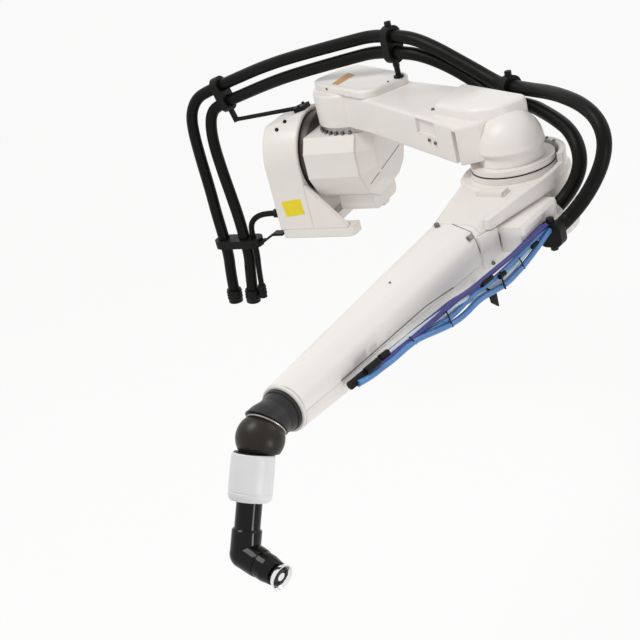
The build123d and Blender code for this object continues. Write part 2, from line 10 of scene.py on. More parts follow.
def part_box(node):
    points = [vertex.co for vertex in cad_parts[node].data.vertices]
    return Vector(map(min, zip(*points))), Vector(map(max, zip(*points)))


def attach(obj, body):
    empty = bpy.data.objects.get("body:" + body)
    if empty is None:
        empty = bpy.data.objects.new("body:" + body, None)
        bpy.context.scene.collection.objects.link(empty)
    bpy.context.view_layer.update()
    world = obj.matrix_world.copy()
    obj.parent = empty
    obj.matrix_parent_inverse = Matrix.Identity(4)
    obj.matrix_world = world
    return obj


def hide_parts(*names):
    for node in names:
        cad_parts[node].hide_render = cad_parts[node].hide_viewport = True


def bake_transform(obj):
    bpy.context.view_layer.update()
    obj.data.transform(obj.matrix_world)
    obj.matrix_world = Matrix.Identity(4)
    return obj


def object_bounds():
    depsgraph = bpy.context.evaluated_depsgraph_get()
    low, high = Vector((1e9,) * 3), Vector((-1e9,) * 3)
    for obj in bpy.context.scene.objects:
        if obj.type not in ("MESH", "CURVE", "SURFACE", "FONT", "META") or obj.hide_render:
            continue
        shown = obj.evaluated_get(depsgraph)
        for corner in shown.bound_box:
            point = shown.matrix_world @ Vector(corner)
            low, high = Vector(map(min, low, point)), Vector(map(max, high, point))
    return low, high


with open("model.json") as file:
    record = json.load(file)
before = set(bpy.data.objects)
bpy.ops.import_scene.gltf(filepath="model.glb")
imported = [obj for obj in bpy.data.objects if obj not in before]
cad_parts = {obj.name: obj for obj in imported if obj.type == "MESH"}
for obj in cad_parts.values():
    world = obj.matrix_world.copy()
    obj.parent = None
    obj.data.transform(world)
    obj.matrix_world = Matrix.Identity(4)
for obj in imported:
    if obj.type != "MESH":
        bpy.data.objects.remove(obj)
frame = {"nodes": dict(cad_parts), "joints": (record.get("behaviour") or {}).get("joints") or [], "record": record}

bl_info = {
    "name": "Painting Robot Dressing",
    "version": (1, 0, 0),
    "blender": (4, 5, 0),
    "location": "View3D > Sidebar > Robot",
    "description": "Dresses a painting robot arm with finishes, hoses, clamps and fasteners",
    "category": "Object",
}

CAD_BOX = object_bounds()
NODES = frame["nodes"]
JOINTS = {joint["name"]: joint for joint in frame["joints"]}

# Frames of the two arms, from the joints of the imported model
SHOULDER_AXIS = Vector(JOINTS["axis_2"]["pos_m"])
ELBOW_AXIS = Vector(JOINTS["axis_3"]["pos_m"])
ARM_RUN = ELBOW_AXIS - SHOULDER_AXIS
FOREARM_RUN = Vector(JOINTS["axis_4"]["axis"])
ARM = (
    Matrix.Translation((SHOULDER_AXIS.x, SHOULDER_AXIS.y, 0))
    @ Matrix.Rotation(math.atan2(ARM_RUN.y, ARM_RUN.x), 4, "Z")
)
FOREARM = (
    Matrix.Translation((ELBOW_AXIS.x, ELBOW_AXIS.y, 0))
    @ Matrix.Rotation(math.atan2(FOREARM_RUN.y, FOREARM_RUN.x), 4, "Z")
)
BASE = Matrix.Identity(4)
FACING_FRONT = Matrix.Rotation(math.pi / 2, 4, "Y")

# The camera, and the picture that its pixels are counted in
PICTURE_SIDE = 640
CAMERA_SENSOR = 36.0
CAMERA_LENS = 73.7
CAMERA_PLACE = Vector((2.7428, -4.5209, 1.9465))
CAMERA_RIGHT = Vector((0.8662, 0.4432, -0.2308))
CAMERA_UP = Vector((-0.0066, 0.4721, 0.8816))
CAMERA_BACK = Vector((0.4997, -0.7621, 0.4118))

# Hose routes in metres. The risers, the cable and the span are in the foot's frame,
# the arm runs and the elbow loops in the upper arm's, the process lines in the forearm's.
RISER_OUTER = [
    (-0.512, -0.170, -0.250), (-0.503, -0.170, -0.165), (-0.487, -0.170, -0.085), (-0.487, -0.170, 0.035),
    (-0.505, -0.148, 0.105), (-0.527, -0.115, 0.215), (-0.552, -0.085, 0.340), (-0.570, -0.058, 0.455),
    (-0.572, -0.035, 0.530), (-0.540, -0.012, 0.588), (-0.475, 0.0, 0.6135), (-0.3883, 0.0, 0.6366),
]
RISER_INNER = [
    (-0.414, -0.170, -0.250), (-0.399, -0.170, -0.165), (-0.380, -0.170, -0.085), (-0.380, -0.170, 0.035),
    (-0.397, -0.148, 0.098), (-0.424, -0.120, 0.178), (-0.455, -0.090, 0.280), (-0.483, -0.058, 0.385),
    (-0.493, -0.034, 0.452), (-0.488, -0.014, 0.508), (-0.4567, 0.0, 0.5437), (-0.3697, 0.0, 0.567),
]
BASE_CABLE = [
    (-0.197, -0.165, 0.105), (-0.245, -0.165, 0.105), (-0.290, -0.166, 0.094), (-0.324, -0.169, 0.068),
    (-0.336, -0.170, 0.025), (-0.336, -0.170, -0.075), (-0.352, -0.170, -0.155), (-0.360, -0.170, -0.230),
]
SPAN_OUTER_REAR = [
    (-0.3878, 0.0, 0.6367), (-0.311, 0.0, 0.6573), (-0.175, -0.020, 0.695), (-0.025, -0.038, 0.727),
    (0.131, -0.0489, 0.7503),
]
SPAN_OUTER_FRONT = [
    (0.131, -0.0489, 0.7503), (0.290, -0.060, 0.774), (0.385, -0.0625, 0.785), (0.4482, -0.0852, 0.785),
]
SPAN_INNER_REAR = [
    (-0.3692, 0.0, 0.5671), (-0.2924, 0.0, 0.5877), (-0.160, -0.020, 0.625), (-0.015, -0.038, 0.659),
    (0.135, -0.0488, 0.6836),
]
SPAN_INNER_FRONT = [
    (0.135, -0.0488, 0.6836), (0.290, -0.060, 0.709), (0.385, -0.0625, 0.721), (0.4482, -0.0852, 0.721),
]
ARM_OUTER = [
    (0.2516, 0.054, 0.785), (0.3398, 0.072, 0.785), (0.415, 0.095, 0.768), (0.492, 0.118, 0.735),
    (0.562, 0.140, 0.696), (0.635, 0.163, 0.655), (0.700, 0.180, 0.620), (0.760, 0.185, 0.600),
    (0.835, 0.185, 0.600),
]
ARM_INNER = [
    (0.2516, 0.054, 0.721), (0.3398, 0.072, 0.721), (0.400, 0.100, 0.708), (0.470, 0.135, 0.675),
    (0.545, 0.165, 0.632), (0.615, 0.185, 0.588), (0.685, 0.190, 0.552), (0.750, 0.185, 0.540),
    (0.835, 0.185, 0.540),
]
LOOP_OUTER = [
    (0.835, 0.185, 0.600), (0.925, 0.185, 0.600), (1.030, 0.165, 0.612), (1.150, 0.138, 0.620),
    (1.270, 0.116, 0.612), (1.356, 0.098, 0.580), (1.398, 0.080, 0.524), (1.392, 0.060, 0.452),
    (1.362, 0.030, 0.378), (1.330, -0.012, 0.315), (1.290, -0.058, 0.262), (1.3117, -0.1104, 0.262),
]
LOOP_INNER = [
    (0.835, 0.185, 0.540), (0.915, 0.185, 0.540), (1.000, 0.166, 0.534), (1.090, 0.142, 0.528),
    (1.180, 0.118, 0.512), (1.238, 0.097, 0.470), (1.258, 0.078, 0.415), (1.251, 0.050, 0.362),
    (1.234, 0.012, 0.318), (1.226, -0.018, 0.298),
]

# Modelling: lengths in metres, angles in degrees, and a bevel's profile, which is round or sunk
MERGE_DISTANCE = 0.00001
SMOOTH_ANGLE = 30.0
FACET_ANGLE = 15.0
TUBE_ANGLE = 50.0
CORNER_STEPS = 6
EDGE_STEPS = 4
SCREW_SIDES = 20
SCREW_TAPER_SHARE = 0.92
SOCKET_RIM_SHARE = 0.42
SOCKET_WALL_SHARE = 0.02
SOCKET_DEPTH_SHARE = 0.5
CAP_NORMAL = 0.9
ROUND_PROFILE = 0.5
SUNK_PROFILE = 0.0
BOX_EDGE_STEPS = 2
LATHE_SEGMENTS = 72
LINE_ORDER = 3
LINE_STEPS = 10
TUBE_STEPS = 6
ROD_SIDES = 24
FITTING_SIDES = 16
HOLE_SIDES = 12
NUT_SIDES = 6
RIB_SEGMENTS = 48

# Patterns of the materials, and the sockets of the node that mixes two colours
BLOTCH_DETAIL = 4.0
GRAIN_DETAIL = 2.0
BLOTCH_LOW, BLOTCH_HIGH = 0.3, 0.7
BUMP_STRENGTH = 0.4
BEVEL_SAMPLES = 4
MM_PER_METRE = 1000.0
MIX_LIGHT, MIX_DARK, MIX_RESULT = 6, 7, 2

# Base, in the foot's frame: the sloping roof, the forked foot, the rear cover and the hose rod's saddle
ROOF_FRONT = -0.007
ROOF_REAR = -0.172
ROOF_FRONT_HEIGHT = 0.502
ROOF_REAR_HEIGHT = 0.468
FOOT_ROOT = 0.030
FOOT_OPENING = 0.240
FOOT_OVERRUN = 0.100
DRUM_HEIGHT = 0.313
REAR_COVER_PROFILE = [(0, -0.002), (0.118, -0.002), (0.118, 0.005), (0.113, 0.010), (0, 0.010)]
SADDLE_PLACE = -0.040
SADDLE_SIZE = (0.050, 0.060, 0.020)
SADDLE_BOLT_SIDE = 0.021
BOLT_RADIUS = 0.0065
BOLT_HEIGHT = 0.007
ROD_START = (-0.3764, 0.0, 0.4762)
ROD_RADIUS = 0.009

# Shoulder: the tapered end cover of the drum
DRUM_SIDES = 12
DRUM_TOP = 0.425
DRUM_FLAT_HALF_WIDTH = 0.155
END_COVER_RINGS = [(0.260, 0.189), (0.320, 0.132)]
# A dark ring that fills the gap between the base and the drum: painted shade of the recess
NECK_SHADE_RING_PROFILE = [
    (0, -0.0185), (0.168, -0.0185), (0.170, -0.012), (0.170, 0.020), (0.166, 0.0275), (0, 0.0275),
]
COLLAR_BOLT_CIRCLE = 0.1535
COLLAR_BOLT_COUNT = 30
COLLAR_BOLT_RADIUS = 0.0065
COLLAR_BOLT_HEIGHT = 0.012

# Upper arm, in its own frame: the beam with its near wall's recesses, the domed turret and the motor's lid
ARM_BOTTOM = 0.455
BEAM_TOP = 0.590
BEAM_EDGE = 0.012
ROOT_RADIUS = 0.156
ROOT_HALF_WIDTH = 0.108
ROOT_STEPS = 48
BEAM_OUTLINE = [
    (0.300, 0.114), (0.700, 0.148), (0.860, 0.148), (0.960, 0.100), (0.990, -0.108), (0.950, -0.172),
    (0.300, -0.114),
]
NEAR_CUTS = [(0.730, 0.130, 0.010, 0.528, 0.580), (0.924, 0.026, 0.030, 0.430, 0.572)]
TURRET_FOOT = [(0, 0.4303), (0.114, 0.4303), (0.104, 0.470), (0.118, 0.474), (0.121, 0.481)]
DOME_RADIUS = 0.118
DOME_BOTTOM = 0.490
DOME_HEIGHT = 0.112
DOME_STEPS = 16
MOTOR_COVER_OUTLINE = [(0.650, 0.092), (0.735, -0.112), (0.945, -0.104), (1.030, -0.030), (1.030, 0.092)]
MOTOR_COVER_BOTTOM = 0.552
MOTOR_COVER_TOP = 0.630
MOTOR_COVER_ROUND = 0.032
MOTOR_COVER_EDGE = 0.016
GAP_RING_PROFILE = [(0, 0.4084), (0.1475, 0.4084), (0.1475, 0.4125), (0, 0.4125)]

# Forearm, in its own frame: the rail along the housing's side and the side panel
RAIL_OUTLINE = [
    (-0.020, 0.182), (-0.020, 0.160), (0.060, 0.160), (0.405, 0.101), (0.405, 0.123), (0.060, 0.182),
]
RAIL_BOTTOM = 0.345
RAIL_TOP = 0.408
RAIL_FALL = 0.028
RAIL_EDGE = 0.004
SIDE_PLATE_MIDDLE = (0.414, 0.113, 0.285)
SIDE_PLATE_TURN = -0.192
SIDE_PLATE_SIZE = (0.092, 0.010, 0.110)
SIDE_PLATE_EDGE = 0.002

# Screws, plates and seams, placed by the pixels where the picture shows them
SCREW_HEIGHT_SHARE = 0.8
PLATE_THICKNESS = 0.0012
PLATE_SINK = -0.0002
SEAM_STEPS = 14
SEAM_SPACING = 0.008
SEAM_WIDTH = 0.003


def hex_colour(text):
    """An sRGB hex value as linear red, green, blue and alpha."""
    channels = [int(text[place:place + 2], 16) / 255 for place in (1, 3, 5)]
    linear = [c / 12.92 if c <= 0.04045 else ((c + 0.055) / 1.055) ** 2.4 for c in channels]
    return (*linear, 1.0)


class RobotSizes(bpy.types.PropertyGroup):
    """Sizes that a user would change."""

    hose_diameter: bpy.props.FloatProperty(
        name="Hose", description="Outer diameter of the two main hoses", default=0.050, unit="LENGTH")
    cable_diameter: bpy.props.FloatProperty(
        name="Cable", description="Outer diameter of the base cable", default=0.025, unit="LENGTH")
    floor_height: bpy.props.FloatProperty(
        name="Floor", description="Height of the floor under the foot", default=-1.0, unit="LENGTH")


class RobotColours(bpy.types.PropertyGroup):
    """Colours that a user would change."""

    enamel: bpy.props.FloatVectorProperty(
        name="Enamel", description="White enamel of the castings", subtype="COLOR", size=4,
        default=hex_colour("#EFEBE7"))
    cover: bpy.props.FloatVectorProperty(
        name="Covers", description="White enamel of the thin covers", subtype="COLOR", size=4,
        default=hex_colour("#F2EFEC"))
    hose: bpy.props.FloatVectorProperty(
        name="Hose", description="Black sleeve of the hoses", subtype="COLOR", size=4,
        default=hex_colour("#100F0E"))
    lines: bpy.props.FloatVectorProperty(
        name="Process lines", description="Blue of the process lines", subtype="COLOR", size=4,
        default=hex_colour("#5A92D6"))


def sizes():
    return bpy.context.scene.robot_sizes


def colours():
    return bpy.context.scene.robot_colours


# Materials
def add_node(tree, kind, inputs=(), **settings):
    """Adds a node with its settings, its values and the links into it."""
    node = tree.nodes.new(kind)
    for name, value in settings.items():
        setattr(node, name, value)
    for socket, value in dict(inputs).items():
        if isinstance(value, bpy.types.NodeSocket):
            tree.links.new(value, node.inputs[socket])
        else:
            node.inputs[socket].default_value = value
    return node


def per_metre(size_mm):
    """The texture scale whose pattern repeats about every size_mm on metre coordinates."""
    return MM_PER_METRE / size_mm


def new_material(name):
    """An empty material with its output node and object coordinates."""
    made = bpy.data.materials.new(name)
    made.use_nodes = True
    made.node_tree.nodes.clear()
    output = add_node(made.node_tree, "ShaderNodeOutputMaterial")
    place = add_node(made.node_tree, "ShaderNodeTexCoord").outputs["Object"]
    return made, made.node_tree, output, place


def shade(colour, factor):
    """A darker or lighter colour of the same hue."""
    return (*[min(1.0, channel * factor) for channel in colour[:3]], 1.0)


# Finishes: light colour or its property, dark colour or its share of the light one, sizes of the blotches and
# of the grain in mm, range of roughness, height of the bumps and width of the soft edges in mm, shader values
FINISHES = {
    # Satin enamel sprayed on castings: warm white, a faint orange peel and soft edges
    "white_enamel": ("enamel", 0.95, 160.0, 3.0, (0.30, 0.42), 0.12, 6.0, {}),
    # Satin enamel on pressed and moulded covers: a little brighter and smoother than on castings
    "cover_enamel": ("cover", 0.96, 200.0, 4.0, (0.26, 0.36), 0.08, 7.0, {}),
    # Turned steel: bright, with an uneven grain that spreads the highlight
    "turned_steel": ("#B9B6B2", "#8F8C89", 30.0, 1.5, (0.25, 0.38), 0.05, 1.5, {"Metallic": 1.0}),
    # Glass filled nylon: near black, dull, with a fine moulded grain
    "black_moulding": (
        "#141313", "#0C0C0B", 40.0, 1.6, (0.40, 0.52), 0.12, 2.0, {"Specular IOR Level": 0.16}),
    # Extruded rubber sleeve: near black with a soft broad sheen and a few dull patches
    "hose_sleeve": ("hose", 0.6, 90.0, 2.5, (0.34, 0.44), 0.08, 0.0, {"Specular IOR Level": 0.12}),
    # Extruded polyurethane tube: light blue and glossy
    "blue_polymer": ("lines", 0.6, 60.0, 6.0, (0.15, 0.25), 0.02, 0.0, {}),
    # Dark grey lacquer on the first wrist segment: satin with a faint blue cast
    "wrist_lacquer": ("#333234", "#232224", 60.0, 2.0, (0.32, 0.42), 0.08, 3.0, {"Specular IOR Level": 0.22}),
    # Brown black lacquer on the ball segment: satin and warm
    "ball_lacquer": ("#2E2924", "#1D1A17", 60.0, 2.0, (0.30, 0.40), 0.08, 3.0, {"Specular IOR Level": 0.22}),
    # White acetal turned on a lathe: cool white, smooth and dull
    "turned_polymer": ("#E9EBEC", "#DFE2E4", 60.0, 2.0, (0.34, 0.44), 0.04, 2.0, {}),
    # Polished black polymer: deep black with sharp highlights
    "polished_black": ("#0D0C0C", "#080808", 80.0, 3.0, (0.05, 0.11), 0.01, 2.0, {"Specular IOR Level": 0.2}),
    # Polished metal of the bell cup: a blurred mirror, darker in places
    "bell_metal": ("#6E6C6E", "#3A393B", 12.0, 1.0, (0.16, 0.28), 0.02, 0.6, {"Metallic": 1.0}),
    # Plain yellow lacquer of the plate on the base
    "yellow_lacquer": ("#F4DF20", "#EAD318", 20.0, 1.0, (0.35, 0.45), 0.02, 0.0, {}),
    # Plain amber lacquer of the plate on the arm's root
    "amber_lacquer": ("#CF921C", "#BC8114", 20.0, 1.0, (0.35, 0.45), 0.02, 0.0, {}),
    # The dark bottom of a joint between two covers
    "seam_shadow": ("#5B5653", "#4A4643", 30.0, 2.0, (0.6, 0.7), 0.02, 0.0, {}),
    # Zinc on screw heads: grey and a little dull
    "zinc_steel": ("#8B8884", "#6E6B68", 8.0, 1.0, (0.28, 0.40), 0.03, 0.5, {"Metallic": 1.0}),
    # Extruded tube of a deep violet blue
    "violet_polymer": ("#33348C", "#23246A", 60.0, 6.0, (0.15, 0.25), 0.02, 0.0, {}),
    # Clear extruded tube with a faint cold tint
    "clear_polymer": (
        "#E3EEF3", "#CDE0EA", 60.0, 6.0, (0.12, 0.20), 0.02, 0.0, {"Transmission Weight": 0.2, "IOR": 1.45}),
    # Dark brown ring in the gap between the base and the drum, painted shade of that recess: smooth, with a broad
    # sheen
    "seal_rubber": ("#4A413D", "#332C29", 60.0, 3.0, (0.28, 0.40), 0.03, 0.0, {"Specular IOR Level": 0.35}),
}
SLOT_FINISHES = {
    "white_paint": "white_enamel",
    "white_cover": "cover_enamel",
    "steel": "turned_steel",
    "black_bracket": "black_moulding",
    "black_hose": "hose_sleeve",
    "blue_tube": "blue_polymer",
    "dark_wrist": "wrist_lacquer",
    "brown_ball": "ball_lacquer",
    "white_plastic": "turned_polymer",
    "gloss_black": "polished_black",
    "bell_metal": "bell_metal",
}


def surface(name):
    """A coated or moulded surface: slow colour drift, uneven gloss, fine grain and softened edges."""
    light, dark, blotch_mm, grain_mm, roughness, bump_mm, edge_mm, shader = FINISHES[name]
    light = hex_colour(light) if light.startswith("#") else getattr(colours(), light)
    dark = hex_colour(dark) if isinstance(dark, str) else shade(light, dark)
    made, tree, output, place = new_material(name)
    blotch, grain = [
        add_node(tree, "ShaderNodeTexNoise", {"Vector": place, "Scale": per_metre(size_mm), "Detail": detail})
        for size_mm, detail in ((blotch_mm, BLOTCH_DETAIL), (grain_mm, GRAIN_DETAIL))
    ]
    tint = add_node(
        tree, "ShaderNodeMix", {"Factor": blotch.outputs["Fac"], MIX_LIGHT: light, MIX_DARK: dark},
        data_type="RGBA")
    gloss = add_node(
        tree, "ShaderNodeMapRange",
        {"Value": blotch.outputs["Fac"], "From Min": BLOTCH_LOW, "From Max": BLOTCH_HIGH,
         "To Min": roughness[0], "To Max": roughness[1]})
    bump = add_node(
        tree, "ShaderNodeBump",
        {"Height": grain.outputs["Fac"], "Strength": BUMP_STRENGTH, "Distance": bump_mm / MM_PER_METRE})
    if edge_mm:
        edge = add_node(
            tree, "ShaderNodeBevel", {"Radius": edge_mm / MM_PER_METRE}, samples=BEVEL_SAMPLES)
        tree.links.new(edge.outputs["Normal"], bump.inputs["Normal"])
    principled = add_node(
        tree, "ShaderNodeBsdfPrincipled",
        {"Base Color": tint.outputs[MIX_RESULT], "Roughness": gloss.outputs["Result"],
         "Normal": bump.outputs["Normal"], **shader})
    tree.links.new(principled.outputs["BSDF"], output.inputs["Surface"])
    return made


def finish_named(name):
    """A finish's material, made the first time that it is asked for."""
    return bpy.data.materials.get(name) or surface(name)


def finish_of(slot):
    """The material of a slot."""
    return finish_named(SLOT_FINISHES[slot])


def piece_named(name):
    """A piece of the frame or of this script."""
    return NODES.get(name) or bpy.data.objects[name]


# Modelling helpers
def select_only(*objects):
    """Selects some pieces alone, the first of them active."""
    bpy.ops.object.select_all(action="DESELECT")
    for obj in objects:
        obj.select_set(True)
    bpy.context.view_layer.objects.active = objects[0]


def primitive(adder, **measures):
    """A new primitive at the origin, selected alone."""
    bpy.ops.object.select_all(action="DESELECT")
    adder(**measures)
    return bpy.context.object


def open_mesh(obj, action="SELECT"):
    """Opens one piece in edit mode, with all or nothing of it selected."""
    select_only(obj)
    bpy.ops.object.mode_set(mode="EDIT")
    bpy.ops.mesh.select_all(action=action)


def close_mesh():
    """Leaves edit mode and hands back the piece."""
    bpy.ops.object.mode_set(mode="OBJECT")
    return bpy.context.object


def placed(obj, place):
    """Moves a piece and puts its place into its mesh."""
    select_only(obj)
    obj.matrix_world = place
    bpy.ops.object.transform_apply(location=True, rotation=True, scale=True)
    return obj


def smooth_shaded(obj, angle=SMOOTH_ANGLE):
    """Shades a piece smooth, but for the edges that are sharper than an angle in degrees."""
    select_only(obj)
    bpy.ops.object.shade_smooth_by_angle(angle=math.radians(angle))
    return obj


def settle(obj, name, slot, material=None):
    """Names a finished piece, puts its place into its mesh and gives it its finish."""
    placed(obj, obj.matrix_world.copy())
    obj.name = name
    obj.data.name = name
    obj.data.materials.clear()
    obj.data.materials.append(material or finish_of(slot))
    return obj


def piece_of(shape, name, place, slot, body=None, material=None, smooth=SMOOTH_ANGLE):
    """Turns a modelled shape into a finished piece that rides on a body."""
    open_mesh(shape)
    bpy.ops.mesh.normals_make_consistent(inside=False)
    close_mesh()
    shape.matrix_world = place
    piece = smooth_shaded(settle(shape, name, slot, material), smooth)
    if body:
        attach(piece, body)
    return piece


def copied(obj, name, place):
    """A copy of a piece with its own mesh, set at a place."""
    copy = bpy.data.objects.new(name, obj.data.copy())
    bpy.context.scene.collection.objects.link(copy)
    return placed(copy, place)


def node_copy(node):
    """A free copy of a node, with its loose triangles joined."""
    copy = copied(NODES[node], node + "_copy", NODES[node].matrix_world.copy())
    bpy.ops.mesh.customdata_custom_splitnormals_clear()
    open_mesh(copy)
    bpy.ops.mesh.remove_doubles(threshold=MERGE_DISTANCE)
    return close_mesh()


def joined(pieces):
    """Joins pieces into the first of them."""
    select_only(*pieces)
    if len(pieces) > 1:
        bpy.ops.object.join()
    return bpy.context.object


def draw_line(points):
    """Draws a line by extruding a single point from corner to corner, and leaves it open in edit mode."""
    open_mesh(primitive(bpy.ops.mesh.primitive_plane_add, size=1.0))
    bpy.ops.mesh.merge(type="CENTER")
    bpy.ops.transform.translate(value=points[0])
    for start, end in zip(points, points[1:]):
        step = Vector(end) - Vector(start)
        bpy.ops.mesh.extrude_vertices_move(TRANSFORM_OT_translate={"value": step})
    bpy.ops.mesh.select_all(action="SELECT")


def turned_shape(profile, segments=LATHE_SEGMENTS):
    """A lathe shape about Z from radius and height pairs."""
    draw_line([(radius, 0, height) for radius, height in profile])
    bpy.ops.mesh.spin(steps=segments, angle=-math.tau, center=(0, 0, 0), axis=(0, 0, 1))
    bpy.ops.mesh.select_all(action="SELECT")
    bpy.ops.mesh.remove_doubles(threshold=MERGE_DISTANCE)
    return close_mesh()


def thick_face(corners, push):
    """A face of some corners, pushed out to a plate, with the pushed face left selected."""
    draw_line(corners)
    bpy.ops.mesh.edge_face_add()
    bpy.ops.mesh.extrude_region_move(TRANSFORM_OT_translate={"value": push})
    return close_mesh()


def slab_shape(outline, bottom, top, corner=0.0, edge=0.0, fall=0.0):
    """A plate of an outline with rounded corners and a rounded top edge, whose top may fall along X."""
    draw_line([(x, y, bottom) for x, y in outline])
    bpy.ops.mesh.edge_face_add()
    if corner:
        bpy.ops.mesh.bevel(offset=corner, segments=CORNER_STEPS, affect="VERTICES", loop_slide=False)
        bpy.ops.mesh.select_all(action="SELECT")
    bpy.ops.mesh.extrude_region_move(TRANSFORM_OT_translate={"value": (0, 0, top - bottom)})
    slab = close_mesh()
    start = min(x for x, _ in outline)
    run = max(x for x, _ in outline) - start
    for vertex in slab.data.vertices:
        if vertex.select:
            vertex.co.z -= fall * (vertex.co.x - start) / run
    if edge:
        bpy.ops.object.mode_set(mode="EDIT")
        bpy.ops.mesh.bevel(offset=edge, segments=EDGE_STEPS, affect="EDGES", loop_slide=False)
        close_mesh()
    return slab


def box_shape(size, place, edge=0.0, steps=BOX_EDGE_STEPS, profile=ROUND_PROFILE):
    """A box about the middle of a place, with shaped edges where they have a width."""
    box = placed(primitive(bpy.ops.mesh.primitive_cube_add, size=1.0), place @ Matrix.Diagonal((*size, 1.0)))
    if edge:
        open_mesh(box)
        bpy.ops.mesh.bevel(offset=edge, segments=steps, profile=profile, affect="EDGES", loop_slide=False)
        close_mesh()
    return box


def ball_shape(radius, segments, place):
    """A sphere about the middle of a place."""
    adder = bpy.ops.mesh.primitive_uv_sphere_add
    return placed(primitive(adder, segments=segments, ring_count=segments // 2, radius=radius), place)


def carve(obj, cutter, operation="DIFFERENCE"):
    """Cuts a shape out of a piece, or joins it on."""
    open_mesh(cutter)
    bpy.ops.mesh.normals_make_consistent(inside=False)
    close_mesh()
    change = obj.modifiers.new("carve", "BOOLEAN")
    change.operation = operation
    change.solver = "EXACT"
    change.object = cutter
    select_only(obj)
    bpy.ops.object.modifier_apply(modifier=change.name)
    bpy.data.meshes.remove(cutter.data)


def cut_above(obj, point, normal):
    """Cuts away what lies beyond a plane and closes the cut with a flat face."""
    open_mesh(obj)
    bpy.ops.mesh.bisect(plane_co=point, plane_no=normal, use_fill=True, clear_outer=True)
    bpy.ops.mesh.faces_shade_flat()
    close_mesh()


def along(start, end):
    """A place at the start whose Z looks to the end, and the distance."""
    run = Vector(end) - Vector(start)
    return Matrix.Translation(start) @ run.to_track_quat("Z", "Y").to_matrix().to_4x4(), run.length


def rod_shape(start, end, radius, segments=ROD_SIDES):
    """A round rod between two points."""
    place, length = along(start, end)
    rod = primitive(bpy.ops.mesh.primitive_cylinder_add, vertices=segments, radius=radius, depth=length)
    return placed(rod, place @ Matrix.Translation((0, 0, length / 2)))


def screw_shape(place, radius, height):
    """A socket screw's head that stands on a place."""
    screw = primitive(
        bpy.ops.mesh.primitive_cone_add,
        vertices=SCREW_SIDES, radius1=radius, radius2=radius * SCREW_TAPER_SHARE, depth=height)
    open_mesh(screw, "DESELECT")
    bpy.ops.mesh.select_mode(type="FACE")
    close_mesh()
    for face in screw.data.polygons:
        face.select = face.normal.z > CAP_NORMAL
    bpy.ops.object.mode_set(mode="EDIT")
    bpy.ops.mesh.inset(thickness=radius * SOCKET_RIM_SHARE, use_even_offset=False)
    bpy.ops.mesh.inset(
        thickness=radius * SOCKET_WALL_SHARE, depth=-height * SOCKET_DEPTH_SHARE, use_even_offset=False)
    bpy.ops.mesh.select_mode(type="VERT")
    close_mesh()
    return placed(screw, place @ Matrix.Translation((0, 0, height / 2)))


def photo_ray(pixel):
    """The direction of the camera's ray through a pixel."""
    focus = CAMERA_LENS / CAMERA_SENSOR * PICTURE_SIDE
    across = (pixel[0] - PICTURE_SIDE / 2) / focus
    upward = (PICTURE_SIDE / 2 - pixel[1]) / focus
    return (CAMERA_RIGHT * across + CAMERA_UP * upward - CAMERA_BACK).normalized()


def photo_spot(pixel, target):
    """Where a pixel's ray meets a piece, and the normal there, or None."""
    bpy.context.view_layer.update()
    to_local = target.matrix_world.inverted()
    origin = to_local @ CAMERA_PLACE
    ray = to_local.to_3x3() @ photo_ray(pixel)
    hit, point, normal, _ = target.ray_cast(origin, ray)
    if not hit:
        return None
    return target.matrix_world @ point, (target.matrix_world.to_3x3() @ normal).normalized()


def standing(point, normal):
    """A place on a surface with Z along its normal."""
    return Matrix.Translation(point) @ normal.to_track_quat("Z", "Y").to_matrix().to_4x4()


# Hoses
def route_line(name, points, place):
    """The smooth line of a hose, as one NURBS spline on its route."""
    curve = bpy.data.curves.new(name, "CURVE")
    curve.dimensions = "3D"
    curve.resolution_u = LINE_STEPS
    spline = curve.splines.new("NURBS")
    spline.points.add(len(points) - 1)
    for control, point in zip(spline.points, points):
        control.co = (*(place @ Vector(point)), 1.0)
    spline.order_u = LINE_ORDER
    spline.use_endpoint_u = True
    line = bpy.data.objects.new(name, curve)
    bpy.context.scene.collection.objects.link(line)
    return line


def line_points(line):
    """Points along a line without thickness."""
    bpy.context.view_layer.update()
    mesh = bpy.data.meshes.new_from_object(line)
    points = [tuple(vertex.co) for vertex in mesh.vertices]
    bpy.data.meshes.remove(mesh)
    return points


def tube(name, points, place, diameter, slot, material=None):
    """A closed round tube along a route, with the points of its centre line and its length."""
    line = route_line(name, points, place)
    path = line_points(line)
    line.data.bevel_depth = diameter / 2
    line.data.bevel_resolution = TUBE_STEPS
    line.data.use_fill_caps = True
    select_only(line)
    bpy.ops.object.convert(target="MESH")
    piece = settle(bpy.context.object, name, slot, material)
    smooth_shaded(piece, TUBE_ANGLE)
    length = sum((Vector(b) - Vector(a)).length for a, b in zip(path, path[1:]))
    return piece, path, length


